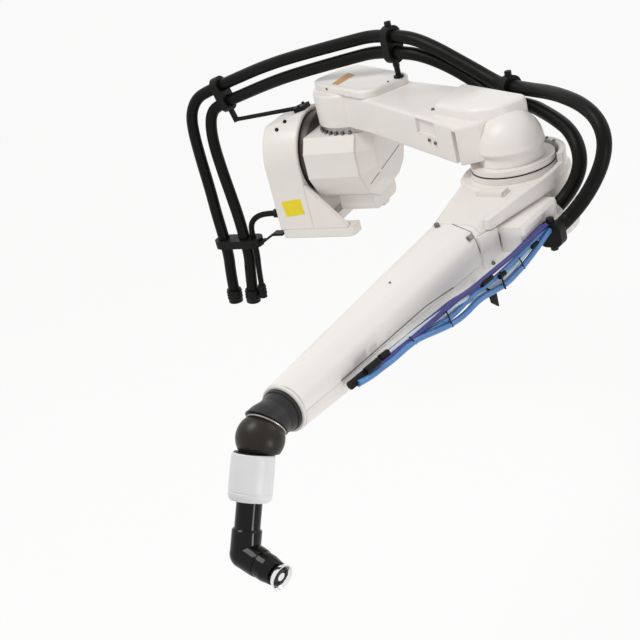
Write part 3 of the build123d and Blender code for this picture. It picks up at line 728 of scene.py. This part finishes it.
class ROBOT_OT_hoses(bpy.types.Operator):
    """Lays the two main hoses and the base cable along their routes"""

    bl_idname = "robot.hoses"
    bl_label = "Hoses"

    def lay(self, name, node, points, place, diameter, body=None, across=None, far_end="object", pieces=()):
        piece, path, length = tube(name, points, place, diameter, "black_hose")
        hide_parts(node)
        if body:
            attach(piece, body)
        else:
            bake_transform(piece)

    def execute(self, context):
        hose = sizes().hose_diameter
        couplings = [NODES["hose_end_couplings"]]
        self.lay("riser_hose_outer_sleeve", "riser_hose_outer", RISER_OUTER, BASE, hose, "base",
                 far_end="fitting", pieces=couplings)
        self.lay("riser_hose_inner_sleeve", "riser_hose_inner", RISER_INNER, BASE, hose, "base",
                 far_end="fitting", pieces=couplings)
        cable = list(reversed(BASE_CABLE))
        self.lay("base_cable_sleeve", "base_cable", cable, BASE, sizes().cable_diameter, "base",
                 far_end="fitting", pieces=couplings)
        for layer, rear, front in (
            ("outer", SPAN_OUTER_REAR, SPAN_OUTER_FRONT), ("inner", SPAN_INNER_REAR, SPAN_INNER_FRONT)
        ):
            node = "span_hose_" + layer
            self.lay(node + "_rear", node, rear, BASE, hose, across=("base", "shoulder", rear[0], rear[-1]))
            self.lay(node + "_front", node, front, BASE, hose,
                     across=("shoulder", "upper_arm", front[0], front[-2]))
        for layer, run, loop in (("outer", ARM_OUTER, LOOP_OUTER), ("inner", ARM_INNER, LOOP_INNER)):
            self.lay("arm_hose_" + layer + "_sleeve", "arm_hose_" + layer, run, ARM, hose, "upper_arm")
            top = Vector((ELBOW_AXIS.x, ELBOW_AXIS.y, loop[0][2] - hose / 2))
            low = Vector((ELBOW_AXIS.x, ELBOW_AXIS.y, loop[-1][2] + hose / 2))
            self.lay("loop_hose_" + layer + "_sleeve", "loop_hose_" + layer, loop, ARM, hose,
                     across=("upper_arm", "forearm", top, low))
        return {"FINISHED"}


# Screws as a body, a finish, a slot and rows of the piece below, the radius and the pixels
SCREW_ROWS = [
    ("base", None, "black_bracket", [
        ("base_housing_sloped", 0.008, [(277, 130), (285, 122)]),
    ]),
    ("upper_arm", "zinc_steel", "steel", [
        ("upper_arm_beam", 0.007, [(433, 110), (430, 140), (436, 143)]),
        ("elbow_motor_lid", 0.006, [(447, 121)]),
        ("root_cover", 0.005, [(327, 89), (388, 82)]),
    ]),
    ("forearm", "zinc_steel", "steel", [
        ("forearm_lip", 0.006, [(547, 138), (554, 141)]),
        ("forearm_side_panel", 0.007, [(493, 263)]),
        ("forearm_cover", 0.004, [(390, 283)]),
    ]),
]
PLATES = [
    ("base_yellow_plate", "base_housing_sloped", "base", "yellow_lacquer",
     [(281, 202), (287, 217), (305, 214), (300, 199)]),
    ("root_amber_plate", "root_cover", "upper_arm", "amber_lacquer",
     [(332, 84), (338, 85), (355, 75), (348, 73)]),
]
SEAMS = [
    ("forearm_front_seam", "forearm_cover", "forearm", "white_cover",
     [(427, 222), (447, 222), (471, 232), (476, 241), (484, 262)]),
    ("shoulder_cover_seam", "shoulder_end_cover_taper", "shoulder", "white_paint",
     [(399, 145), (371, 184)]),
    ("forearm_tray_seam", "forearm_cover", "forearm", "white_cover",
     [(483, 270), (451, 289), (425, 307), (373, 353), (341, 381)]),
]

# The process lines in the side plane of the forearm, as pixels, with their diameter and step out of the plane
LINE_PLANE_START = (0.264, 0.236)
LINE_PLANE_END = (1.205, 0.110)
PROCESS_LINES = [
    ("blue_line_low", "blue_polymer", 0.020, 0.012, [
        (547, 229), (531, 252), (518, 268), (504, 283), (490, 291), (476, 299), (461, 315), (448, 324),
        (432, 331), (415, 338), (403, 347), (391, 358), (379, 367), (366, 377), (355, 383)]),
    ("blue_line_mid", "blue_polymer", 0.017, 0.0, [
        (546, 227), (528, 247), (513, 262), (499, 275), (487, 285), (473, 294), (460, 309), (446, 321),
        (425, 333), (408, 343), (392, 356), (377, 367), (362, 379)]),
    ("violet_line_high", "violet_polymer", 0.016, 0.006, [
        (545, 225), (526, 241), (510, 256), (494, 269), (482, 279), (470, 290), (457, 298), (447, 307),
        (430, 322), (410, 339), (390, 355), (372, 370), (358, 380)]),
    ("violet_line_low", "violet_polymer", 0.014, -0.010, [
        (544, 226), (522, 248), (506, 264), (492, 274), (478, 286), (466, 295), (452, 303), (438, 315),
        (420, 329), (402, 344), (384, 359), (366, 374)]),
    ("clear_line_high", "clear_polymer", 0.018, -0.004, [
        (545, 228), (524, 256), (505, 280), (488, 292), (470, 297), (455, 305), (441, 314), (425, 326),
        (409, 338), (394, 351), (380, 363)]),
    ("clear_line_low", "clear_polymer", 0.018, -0.016, [
        (540, 236), (520, 262), (500, 284), (484, 297), (468, 304), (452, 313), (438, 323), (420, 334),
        (405, 343), (388, 357)]),
]
LINE_FITTINGS = [
    (0.013, [(372, 368), (350, 386)], 0.0), (0.011, [(376, 360), (363, 371)], 0.010),
    (0.010, [(388, 352), (380, 358)], 0.0), (0.011, [(489, 276), (479, 284)], 0.008),
    (0.008, [(502, 272), (496, 277)], 0.012), (0.007, [(535, 242), (529, 247)], 0.010),
]
LINE_TIES = [
    (0.0022, [(514, 257), (520, 268)], 0.020), (0.0022, [(441, 310), (448, 326)], 0.020),
    (0.0030, [(494, 271), (500, 288)], 0.022), (0.0022, [(405, 336), (412, 343)], 0.018),
]
LINE_HANGER = [(486, 288), (494, 291), (497, 306), (491, 303)]
HANGER_THICKNESS = 0.010
LATCH_SIZE = (0.030, 0.018, 0.014)
LATCH_EDGE = LATCH_SIZE[2] / 6
LATCHES = [("forearm_cover", (437, 226)), ("forearm_cover", (470, 238))]
STOP_BLOCK_PIXEL = (493, 194)
STOP_BLOCK_SIZE = (0.052, 0.105, 0.030)
STOP_BLOCK_EDGE = 0.004
STOP_BLOCK_STEPS = 3

# Wrist and applicator, along the axes of their joints
COLLAR_DISC_PROFILE = [
    (0, -0.0118), (0.071, -0.0118), (0.0735, -0.009), (0.0735, -0.002), (0.071, 0.0), (0, 0.0),
]
COLLAR_SEAT_PROFILE = [(0, -0.001), (0.066, -0.001), (0.064, 0.0115), (0, 0.0115)]
BALL_RADIUS = 0.069
BALL_SEGMENTS = 72
BALL_MIDDLE = 0.045
BALL_GAP = 0.0004
BALL_RING_PROFILE = [(0, 0.0006), (0.0575, 0.0006), (0.059, 0.0025), (0.0575, 0.006), (0, 0.006)]
TOOL_COLLAR_PROFILE = [
    (0, 0.0015), (0.056, 0.0015), (0.0595, 0.004), (0.0615, 0.050), (0.0615, 0.104), (0.0605, 0.1055),
    (0.0605, 0.108), (0.0615, 0.1095), (0.060, 0.122), (0.055, 0.130), (0, 0.130),
]
TUBE_PROFILE = [(0, 0.120), (0.036, 0.120), (0.036, 0.276), (0, 0.276)]
SLEEVE_PROFILE = [(0, 0.207), (0.039, 0.207), (0.042, 0.212), (0.042, 0.275), (0, 0.275)]
NOSE_PROFILE = [(0, 0.0), (0.042, 0.0), (0.042, 0.052), (0.0405, 0.062), (0, 0.062)]
KNUCKLE_RADIUS = 0.0427
KNUCKLE_SEGMENTS = 48
BELL_PROFILE = [
    (0, 0.1186), (0.026, 0.1186), (0.031, 0.124), (0.0365, 0.138), (0.0375, 0.1425), (0.0345, 0.1425),
    (0.030, 0.134), (0.013, 0.131), (0.012, 0.138), (0.006, 0.140), (0, 0.139),
]
# Black rods at the holes of the bell cup, as painted shade inside them
BELL_HOLE_COUNT = 10
BELL_HOLE_CIRCLE = 0.0225
BELL_HOLE_RADIUS = 0.0042
BELL_HOLE_START = 0.128
BELL_HOLE_END = 0.1362
BELL_FLOOR_PROFILE = [(0.0135, 0.130), (0.029, 0.130), (0.029, 0.1348), (0.0135, 0.1335), (0.0135, 0.130)]
RIB_PROFILE = [(0, -0.003), (0.0335, -0.003), (0.035, 0.0), (0.0335, 0.003), (0, 0.003)]
CABLE_RIB_SHARE = 0.55
RIB_STEPS = (0.010, 0.024, 0.038)
KNOB_RADIUS = 0.013
KNOB_HEIGHT = 0.016
KNOB_SINK = 0.004
KNOB_CLAMPS = [
    ("arm_hose_clamp", "upper_arm"), ("elbow_hose_clamp", "upper_arm"), ("forearm_hose_clamp", "forearm"),
]


class ROBOT_OT_castings(bpy.types.Operator):
    """Gives the castings and covers the forms that the photograph shows"""

    bl_idname = "robot.castings"
    bl_label = "Castings"

    def base(self):
        housing = settle(node_copy("base_housing"), "base_housing_sloped", "white_paint")
        rise = (ROOF_FRONT_HEIGHT - ROOF_REAR_HEIGHT) / (ROOF_FRONT - ROOF_REAR)
        cut_above(housing, (ROOF_FRONT, 0, ROOF_FRONT_HEIGHT), (-rise, 0, 1))
        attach(smooth_shaded(housing), "base")
        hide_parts("base_housing")
        foot = settle(node_copy("base_foot"), "base_foot_forked", "white_paint")
        low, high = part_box("base_foot")
        length = high[0] - FOOT_ROOT + FOOT_OVERRUN
        middle = Matrix.Translation((FOOT_ROOT + length / 2, 0, (low[2] + high[2]) / 2))
        carve(foot, box_shape((length, FOOT_OPENING, FOOT_OVERRUN), middle))
        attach(smooth_shaded(foot), "base")
        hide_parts("base_foot")
        facing_back = Matrix.Translation((ROOF_REAR, 0, DRUM_HEIGHT)) @ Matrix.Rotation(-math.pi / 2, 4, "Y")
        shape = turned_shape(REAR_COVER_PROFILE)
        cover = piece_of(shape, "base_rear_cover_disc", facing_back, "white_paint", "base")
        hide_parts("base_rear_cover")
        seat = ROOF_FRONT_HEIGHT - rise * (ROOF_FRONT - SADDLE_PLACE)
        tilt = Matrix.Rotation(-math.atan(rise), 4, "Y")
        saddle_foot = Matrix.Translation((SADDLE_PLACE, 0, seat)) @ tilt
        thickness = SADDLE_SIZE[2]
        parts = [
            box_shape(SADDLE_SIZE, saddle_foot @ Matrix.Translation((0, 0, thickness / 2))),
            rod_shape(ROD_START, (SADDLE_PLACE, 0, seat + thickness / 2), ROD_RADIUS),
        ]
        for side in (-1, 1):
            place = saddle_foot @ Matrix.Translation((0, side * SADDLE_BOLT_SIDE, thickness))
            parts.append(screw_shape(place, BOLT_RADIUS, BOLT_HEIGHT))
        rod = piece_of(joined(parts), "upper_hose_rod_sloped", BASE, "black_bracket", "base")
        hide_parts("upper_hose_rod")

    def shoulder(self):
        (start, start_apothem), (end, end_apothem) = END_COVER_RINGS
        corner_share = 1 / math.cos(math.pi / DRUM_SIDES)
        shape = primitive(
            bpy.ops.mesh.primitive_cone_add, vertices=DRUM_SIDES,
            radius1=start_apothem * corner_share, radius2=end_apothem * corner_share, depth=end - start)
        flat_up = Matrix.Rotation(math.pi / DRUM_SIDES, 4, "Z")
        place = Matrix.Translation(((start + end) / 2, 0, DRUM_HEIGHT)) @ FACING_FRONT @ flat_up
        cover = piece_of(shape, "shoulder_end_cover_taper", place, "white_paint", smooth=FACET_ANGLE)
        cut_above(cover, (0, 0, DRUM_TOP), (0, 0, 1))
        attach(cover, "shoulder")
        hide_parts("shoulder_end_cover")
        # A dark ring in the gap between the base and the drum: painted shade of the recess
        place = Matrix.Translation((0, 0, DRUM_HEIGHT)) @ FACING_FRONT
        shape = turned_shape(NECK_SHADE_RING_PROFILE)
        piece_of(shape, "shoulder_neck_seal", place, "black_bracket", "shoulder", finish_named("seal_rubber"))
        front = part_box("shoulder_housing")[1][0]
        bolt = screw_shape(BASE, COLLAR_BOLT_RADIUS, COLLAR_BOLT_HEIGHT)
        bolts = []
        for step in range(COLLAR_BOLT_COUNT):
            turn = math.tau * (step + 0.5) / COLLAR_BOLT_COUNT
            x = SHOULDER_AXIS.x + COLLAR_BOLT_CIRCLE * math.cos(turn)
            y = SHOULDER_AXIS.y + COLLAR_BOLT_CIRCLE * math.sin(turn)
            if x < front - COLLAR_BOLT_RADIUS and abs(y) < DRUM_FLAT_HALF_WIDTH:
                bolts.append(copied(bolt, "bolt", Matrix.Translation((x, y, DRUM_TOP))))
        bpy.data.meshes.remove(bolt.data)
        zinc = finish_named("zinc_steel")
        piece_of(joined(bolts), "shoulder_collar_bolts", BASE, "steel", "shoulder", zinc)

    def arm(self):
        first = math.asin(ROOT_HALF_WIDTH / ROOT_RADIUS)
        sweep = math.tau - 2 * first
        turns = [-first - sweep * step / ROOT_STEPS for step in range(ROOT_STEPS + 1)]
        root = [(ROOT_RADIUS * math.cos(turn), ROOT_RADIUS * math.sin(turn)) for turn in turns]
        shape = slab_shape([*BEAM_OUTLINE, *root], ARM_BOTTOM, BEAM_TOP, edge=BEAM_EDGE)
        casting = piece_of(shape, "upper_arm_beam", ARM, "white_paint")
        (near_start, near_side), (near_end, far_side) = BEAM_OUTLINE[-1], BEAM_OUTLINE[-2]
        flare = (far_side - near_side) / (near_end - near_start)
        for reach, length, depth, bottom, top in NEAR_CUTS:
            wall = Vector((reach, near_side + flare * (reach - near_start), (bottom + top) / 2))
            place = ARM @ Matrix.Translation(wall) @ Matrix.Rotation(math.atan(flare), 4, "Z")
            carve(casting, box_shape((length, depth * 2, top - bottom), place))
        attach(casting, "upper_arm")
        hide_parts("upper_arm_casting")
        dome = [
            (DOME_RADIUS * math.cos(turn), DOME_BOTTOM + DOME_HEIGHT * math.sin(turn))
            for turn in [math.pi / 2 * step / DOME_STEPS for step in range(DOME_STEPS)]
        ]
        elbow = ARM @ Matrix.Translation((ARM_RUN.to_2d().length, 0, 0))
        shape = turned_shape([*TURRET_FOOT, *dome, (0, DOME_BOTTOM + DOME_HEIGHT)])
        turret = piece_of(shape, "elbow_turret_dome", elbow, "white_paint", "upper_arm")
        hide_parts("elbow_turret")
        shape = slab_shape(
            MOTOR_COVER_OUTLINE, MOTOR_COVER_BOTTOM, MOTOR_COVER_TOP, MOTOR_COVER_ROUND, MOTOR_COVER_EDGE)
        cover = piece_of(shape, "elbow_motor_lid", ARM, "white_cover", "upper_arm")
        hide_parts("elbow_motor_cover")
        piece_of(turned_shape(GAP_RING_PROFILE), "elbow_gap_ring", elbow, "black_bracket", "upper_arm")

    def forearm(self):
        shape = slab_shape(RAIL_OUTLINE, RAIL_BOTTOM, RAIL_TOP, edge=RAIL_EDGE, fall=RAIL_FALL)
        piece_of(shape, "forearm_side_rail", FOREARM, "white_paint", "forearm")
        place = FOREARM @ Matrix.Translation(SIDE_PLATE_MIDDLE) @ Matrix.Rotation(SIDE_PLATE_TURN, 4, "Z")
        shape = box_shape(SIDE_PLATE_SIZE, place, SIDE_PLATE_EDGE)
        plate = piece_of(shape, "forearm_side_panel", BASE, "white_cover", "forearm")
        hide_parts("forearm_side_plate")

    def execute(self, context):
        self.base()
        self.shoulder()
        self.arm()
        self.forearm()
        return {"FINISHED"}


def joint_place(name):
    """A joint's place, with Z along its axis."""
    axis = Vector(JOINTS[name]["axis"])
    return standing(JOINTS[name]["pos_m"], axis)


class ROBOT_OT_wrist(bpy.types.Operator):
    """Turns the wrist's rings, the ball, the collar and the applicator"""

    bl_idname = "robot.wrist"
    bl_label = "Wrist"

    def wrist(self):
        place = joint_place("axis_4")
        shape = turned_shape(COLLAR_DISC_PROFILE)
        disc = piece_of(shape, "wrist_collar_disc", place, "white_paint", "forearm")
        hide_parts("wrist_collar")
        shape = turned_shape(COLLAR_SEAT_PROFILE)
        seat = piece_of(shape, "wrist_collar_seat", place, "dark_wrist", "forearm")
        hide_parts("wrist_collar")
        place = joint_place("axis_5")
        shape = ball_shape(BALL_RADIUS, BALL_SEGMENTS, place @ Matrix.Translation((0, 0, BALL_MIDDLE)))
        ball = piece_of(shape, "wrist_ball_shell", BASE, "brown_ball")
        for joint, side in (("axis_5", -1), ("axis_6", 1)):
            axis = Vector(JOINTS[joint]["axis"]) * side
            cut_above(ball, Vector(JOINTS[joint]["pos_m"]) - axis * BALL_GAP, axis)
        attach(smooth_shaded(ball), "wrist_ball")
        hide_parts("wrist_second")
        piece_of(turned_shape(BALL_RING_PROFILE), "wrist_ball_ring", place, "steel", "wrist_ball")

    def applicator(self):
        place = joint_place("axis_6")
        shape = turned_shape(TOOL_COLLAR_PROFILE)
        sleeve = piece_of(shape, "tool_collar_sleeve", place, "white_plastic", "applicator")
        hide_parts("tool_collar")
        nose = joint_place("bell_spin")
        body = piece_of(turned_shape(TUBE_PROFILE), "applicator_elbow", place, "gloss_black")
        carve(body, placed(turned_shape(SLEEVE_PROFILE), place), "UNION")
        carve(body, placed(turned_shape(NOSE_PROFILE), nose), "UNION")
        carve(body, ball_shape(KNUCKLE_RADIUS, KNUCKLE_SEGMENTS, nose), "UNION")
        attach(smooth_shaded(body), "applicator")
        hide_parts("applicator_body")
        bell = piece_of(turned_shape(BELL_PROFILE), "bell_cup_dish", nose, "bell_metal", "bell")
        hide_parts("bell_cup")
        # A black ring on the dish floor, and black rods whose ends stand for the holes: painted shade inside the
        # holes
        parts = [turned_shape(BELL_FLOOR_PROFILE)]
        for step in range(BELL_HOLE_COUNT):
            turn = math.tau * step / BELL_HOLE_COUNT
            x, y = BELL_HOLE_CIRCLE * math.cos(turn), BELL_HOLE_CIRCLE * math.sin(turn)
            start, end = (x, y, BELL_HOLE_START), (x, y, BELL_HOLE_END)
            parts.append(rod_shape(start, end, BELL_HOLE_RADIUS, HOLE_SIDES))
        holes = piece_of(joined(parts), "bell_cup_holes", nose, "gloss_black", "bell")
        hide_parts("bell_cup")

    def execute(self, context):
        self.wrist()
        self.applicator()
        return {"FINISHED"}


def side_point(pixel, step_out):
    """Where a pixel's ray meets the forearm's side plane, moved out of it a little."""
    start = FOREARM @ Vector((*LINE_PLANE_START, 0))
    end = FOREARM @ Vector((*LINE_PLANE_END, 0))
    normal = (end - start).cross(Vector((0, 0, -1))).normalized()
    ray = photo_ray(pixel)
    distance = (start - CAMERA_PLACE).dot(normal) / ray.dot(normal)
    return CAMERA_PLACE + ray * distance + normal * step_out


class ROBOT_OT_lines(bpy.types.Operator):
    """Lays the coloured process lines with their fittings and ties along the forearm"""

    bl_idname = "robot.lines"
    bl_label = "Process lines"

    def execute(self, context):
        for name, finish, diameter, step_out, pixels in PROCESS_LINES:
            points = [tuple(side_point(pixel, step_out)) for pixel in pixels]
            piece, _, _ = tube(name, points, BASE, diameter, "blue_tube", finish_named(finish))
            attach(piece, "forearm")
            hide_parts("process_tubes")
        parts = []
        for radius, pixels, step_out in LINE_FITTINGS + LINE_TIES:
            start, end = [side_point(pixel, step_out) for pixel in pixels]
            parts.append(rod_shape(start, end, radius, FITTING_SIDES))
        corners = [side_point(pixel, 0) for pixel in LINE_HANGER]
        push = side_point(LINE_HANGER[0], HANGER_THICKNESS) - corners[0]
        parts.append(thick_face(corners, push))
        fittings = piece_of(joined(parts), "process_line_fittings", BASE, "black_bracket", "forearm")
        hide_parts("tube_brackets")
        return {"FINISHED"}


class ROBOT_OT_fasteners(bpy.types.Operator):
    """Places the screws, plates and seams that the photograph shows"""

    bl_idname = "robot.fasteners"
    bl_label = "Fasteners"

    def screws(self):
        for body, finish, slot, rows in SCREW_ROWS:
            heads = []
            for target, radius, pixels in rows:
                height = radius * SCREW_HEIGHT_SHARE
                spots = [photo_spot(pixel, piece_named(target)) for pixel in pixels]
                heads += [screw_shape(standing(*spot), radius, height) for spot in spots if spot]
            name = body + "_" + slot + "_screws"
            piece_of(joined(heads), name, BASE, slot, body, finish and finish_named(finish))

    def plates(self):
        for name, target, body, finish, pixels in PLATES:
            spots = [photo_spot(pixel, piece_named(target)) for pixel in pixels]
            normal = spots[0][1]
            shape = thick_face([point + normal * PLATE_SINK for point, _ in spots], normal * PLATE_THICKNESS)
            piece_of(shape, name, BASE, "white_cover", body, finish_named(finish))

    def seams(self):
        for name, target, body, slot, pixels in SEAMS:
            points = []
            for first, second in zip(pixels, pixels[1:]):
                for step in range(SEAM_STEPS):
                    pixel = Vector(first).lerp(Vector(second), step / (SEAM_STEPS - 1))
                    spot = photo_spot(pixel, piece_named(target))
                    if spot and (not points or (spot[0] - Vector(points[-1])).length > SEAM_SPACING):
                        points.append(tuple(spot[0]))
            piece, _, _ = tube(name, points, BASE, SEAM_WIDTH, slot, finish_named("seam_shadow"))
            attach(piece, body)

    def blocks(self):
        for number, (target, pixel) in enumerate(LATCHES):
            place = standing(*photo_spot(pixel, piece_named(target)))
            shape = box_shape(LATCH_SIZE, place, LATCH_EDGE, profile=SUNK_PROFILE)
            piece_of(shape, f"cover_latch_{number}", BASE, "steel", "forearm", finish_named("zinc_steel"))
        point, _ = photo_spot(STOP_BLOCK_PIXEL, piece_named("forearm_housing"))
        place = Matrix.Translation(point) @ FOREARM.to_3x3().to_4x4()
        shape = box_shape(STOP_BLOCK_SIZE, place, STOP_BLOCK_EDGE, STOP_BLOCK_STEPS, SUNK_PROFILE)
        piece_of(shape, "elbow_stop_block", BASE, "white_paint", "forearm")

    def knobs(self):
        for node, body in KNOB_CLAMPS:
            low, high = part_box(node)
            x, y = (low[0] + high[0]) / 2, (low[1] + high[1]) / 2
            ends = [
                ((x, y, face - side * KNOB_SINK), (x, y, face + side * KNOB_HEIGHT))
                for face, side in ((high[2], 1), (low[2], -1))
            ]
            nuts = [rod_shape(start, end, KNOB_RADIUS, NUT_SIDES) for start, end in ends]
            piece_of(joined(nuts), node + "_nuts", BASE, "black_bracket", body)

    def ribs(self):
        for name, route, share in (
            ("riser_outer_ribs", RISER_OUTER, 1.0), ("riser_inner_ribs", RISER_INNER, 1.0),
            ("base_cable_ribs", list(reversed(BASE_CABLE)), CABLE_RIB_SHARE),
        ):
            place, _ = along(route[1], route[0])
            place.translation = route[0]
            rib = turned_shape([(radius * share, height) for radius, height in RIB_PROFILE], RIB_SEGMENTS)
            ribs = [copied(rib, "rib", Matrix.Translation((0, 0, step))) for step in RIB_STEPS]
            bpy.data.meshes.remove(rib.data)
            piece_of(joined(ribs), name, place, "black_bracket", "base")

    def execute(self, context):
        self.screws()
        self.plates()
        self.seams()
        self.blocks()
        self.knobs()
        self.ribs()
        return {"FINISHED"}


class ROBOT_OT_finishes(bpy.types.Operator):
    """Gives every piece of the frame the finish of its slot"""

    bl_idname = "robot.finishes"
    bl_label = "Finishes"

    def execute(self, context):
        for subpart in frame["record"]["subparts"]:
            mesh = NODES[subpart["node"]].data
            mesh.materials.clear()
            mesh.materials.append(finish_of(subpart["material_slot"]))
        return {"FINISHED"}


# Stage: each lamp's place, target or none for the robot's middle, size in metres, power in watts and colour
LAMPS = [
    ("key_light", (-0.8, -2.4, 4.6), None, (2.4, 2.4), 120.0, "#FFFDFB"),
    ("side_light", (4.5, 1.0, 2.6), None, (2.5, 2.5), 24.0, "#FFF6F0"),
    ("strip_light", (3.69, -2.96, -0.33), (0.80, -2.15, 0.06), (0.5, 1.3), 26.0, "#FFFFFF"),
]
FLOOR_SIDE = 300.0
PAPER_COLOUR = "#F4F3F1"
PAPER_GLOW_SHARE = 0.9
AMBIENT_COLOUR = "#F3F1EF"
AMBIENT_STRENGTH = 0.55


def area_light(name, place, target, size, power, colour):
    """A soft oblong lamp at a place, aimed at a target."""
    lamp = bpy.data.lights.new(name, "AREA")
    lamp.energy = power
    lamp.shape = "RECTANGLE"
    lamp.size, lamp.size_y = size
    lamp.color = colour[:3]
    holder = bpy.data.objects.new(name, lamp)
    holder.location = place
    holder.rotation_euler = (Vector(target) - Vector(place)).to_track_quat("-Z", "Y").to_euler()
    bpy.context.scene.collection.objects.link(holder)


def camera_rays(tree):
    """One for rays from the camera, mirrors and glass, and zero for light."""
    rays = add_node(tree, "ShaderNodeLightPath").outputs
    mirrored = add_node(
        tree, "ShaderNodeMath", {0: rays["Is Camera Ray"], 1: rays["Is Glossy Ray"]}, operation="MAXIMUM")
    seen = add_node(
        tree, "ShaderNodeMath", {0: mirrored.outputs[0], 1: rays["Is Transmission Ray"]}, operation="MAXIMUM")
    return seen.outputs[0]


class ROBOT_OT_stage(bpy.types.Operator):
    """Sets the floor, the light and the camera"""

    bl_idname = "robot.stage"
    bl_label = "Stage"

    def execute(self, context):
        scene = context.scene
        white = hex_colour("#FFFFFF")
        bpy.ops.object.select_all(action="DESELECT")
        bpy.ops.mesh.primitive_plane_add(size=FLOOR_SIDE, location=(0, 0, sizes().floor_height))
        floor = context.object
        floor.name = "studio_floor"
        paper, tree, output, _ = new_material("studio_paper")
        matt = add_node(tree, "ShaderNodeBsdfDiffuse", {"Color": hex_colour(PAPER_COLOUR)})
        lit = add_node(tree, "ShaderNodeEmission", {"Color": white, "Strength": 1.0})
        share = add_node(
            tree, "ShaderNodeMath", {0: camera_rays(tree), 1: PAPER_GLOW_SHARE}, operation="MULTIPLY")
        mixed = add_node(
            tree, "ShaderNodeMixShader", {"Fac": share.outputs[0], 1: matt.outputs[0], 2: lit.outputs[0]})
        tree.links.new(mixed.outputs[0], output.inputs["Surface"])
        floor.data.materials.append(paper)

        world = bpy.data.worlds.new("studio_world")
        scene.world = world
        world.use_nodes = True
        tree = world.node_tree
        tree.nodes.clear()
        ambient = add_node(
            tree, "ShaderNodeBackground", {"Color": hex_colour(AMBIENT_COLOUR), "Strength": AMBIENT_STRENGTH})
        backdrop = add_node(tree, "ShaderNodeBackground", {"Color": white, "Strength": 1.0})
        mixed = add_node(
            tree, "ShaderNodeMixShader",
            {"Fac": camera_rays(tree), 1: ambient.outputs[0], 2: backdrop.outputs[0]})
        sky = add_node(tree, "ShaderNodeOutputWorld")
        tree.links.new(mixed.outputs[0], sky.inputs["Surface"])

        middle = (CAD_BOX[0] + CAD_BOX[1]) / 2
        for name, place, target, size, power, colour in LAMPS:
            area_light(name, place, target or middle, size, power, hex_colour(colour))

        lens = bpy.data.cameras.new("photo_camera")
        lens.lens = CAMERA_LENS
        lens.sensor_width = CAMERA_SENSOR
        holder = bpy.data.objects.new("photo_camera", lens)
        turn = Matrix((CAMERA_RIGHT, CAMERA_UP, CAMERA_BACK)).transposed()
        holder.matrix_world = Matrix.Translation(CAMERA_PLACE) @ turn.to_4x4()
        scene.collection.objects.link(holder)
        scene.camera = holder
        scene.view_settings.view_transform = "Standard"
        return {"FINISHED"}


class ROBOT_PT_dressing(bpy.types.Panel):
    """Lists the steps that dress the robot"""

    bl_idname = "ROBOT_PT_dressing"
    bl_label = "Painting Robot"
    bl_space_type = "VIEW_3D"
    bl_region_type = "UI"
    bl_category = "Robot"

    def draw(self, context):
        for group in (context.scene.robot_sizes, context.scene.robot_colours):
            for name in group.__annotations__:
                self.layout.prop(group, name)
        for step in STEPS:
            self.layout.operator(step.bl_idname)


STEPS = (
    ROBOT_OT_stage,
    ROBOT_OT_finishes,
    ROBOT_OT_hoses,
    ROBOT_OT_castings,
    ROBOT_OT_wrist,
    ROBOT_OT_lines,
    ROBOT_OT_fasteners,
)
CLASSES = (RobotSizes, RobotColours, *STEPS, ROBOT_PT_dressing)


def register():
    for cls in CLASSES:
        bpy.utils.register_class(cls)
    bpy.types.Scene.robot_sizes = bpy.props.PointerProperty(type=RobotSizes)
    bpy.types.Scene.robot_colours = bpy.props.PointerProperty(type=RobotColours)


def unregister():
    del bpy.types.Scene.robot_colours
    del bpy.types.Scene.robot_sizes
    for cls in reversed(CLASSES):
        bpy.utils.unregister_class(cls)


def main():
    register()
    bpy.ops.robot.stage()
    bpy.ops.robot.finishes()
    bpy.ops.robot.hoses()
    bpy.ops.robot.castings()
    bpy.ops.robot.wrist()
    bpy.ops.robot.lines()
    bpy.ops.robot.fasteners()
    bpy.context.view_layer.update()


if __name__ == "__main__":
    main()
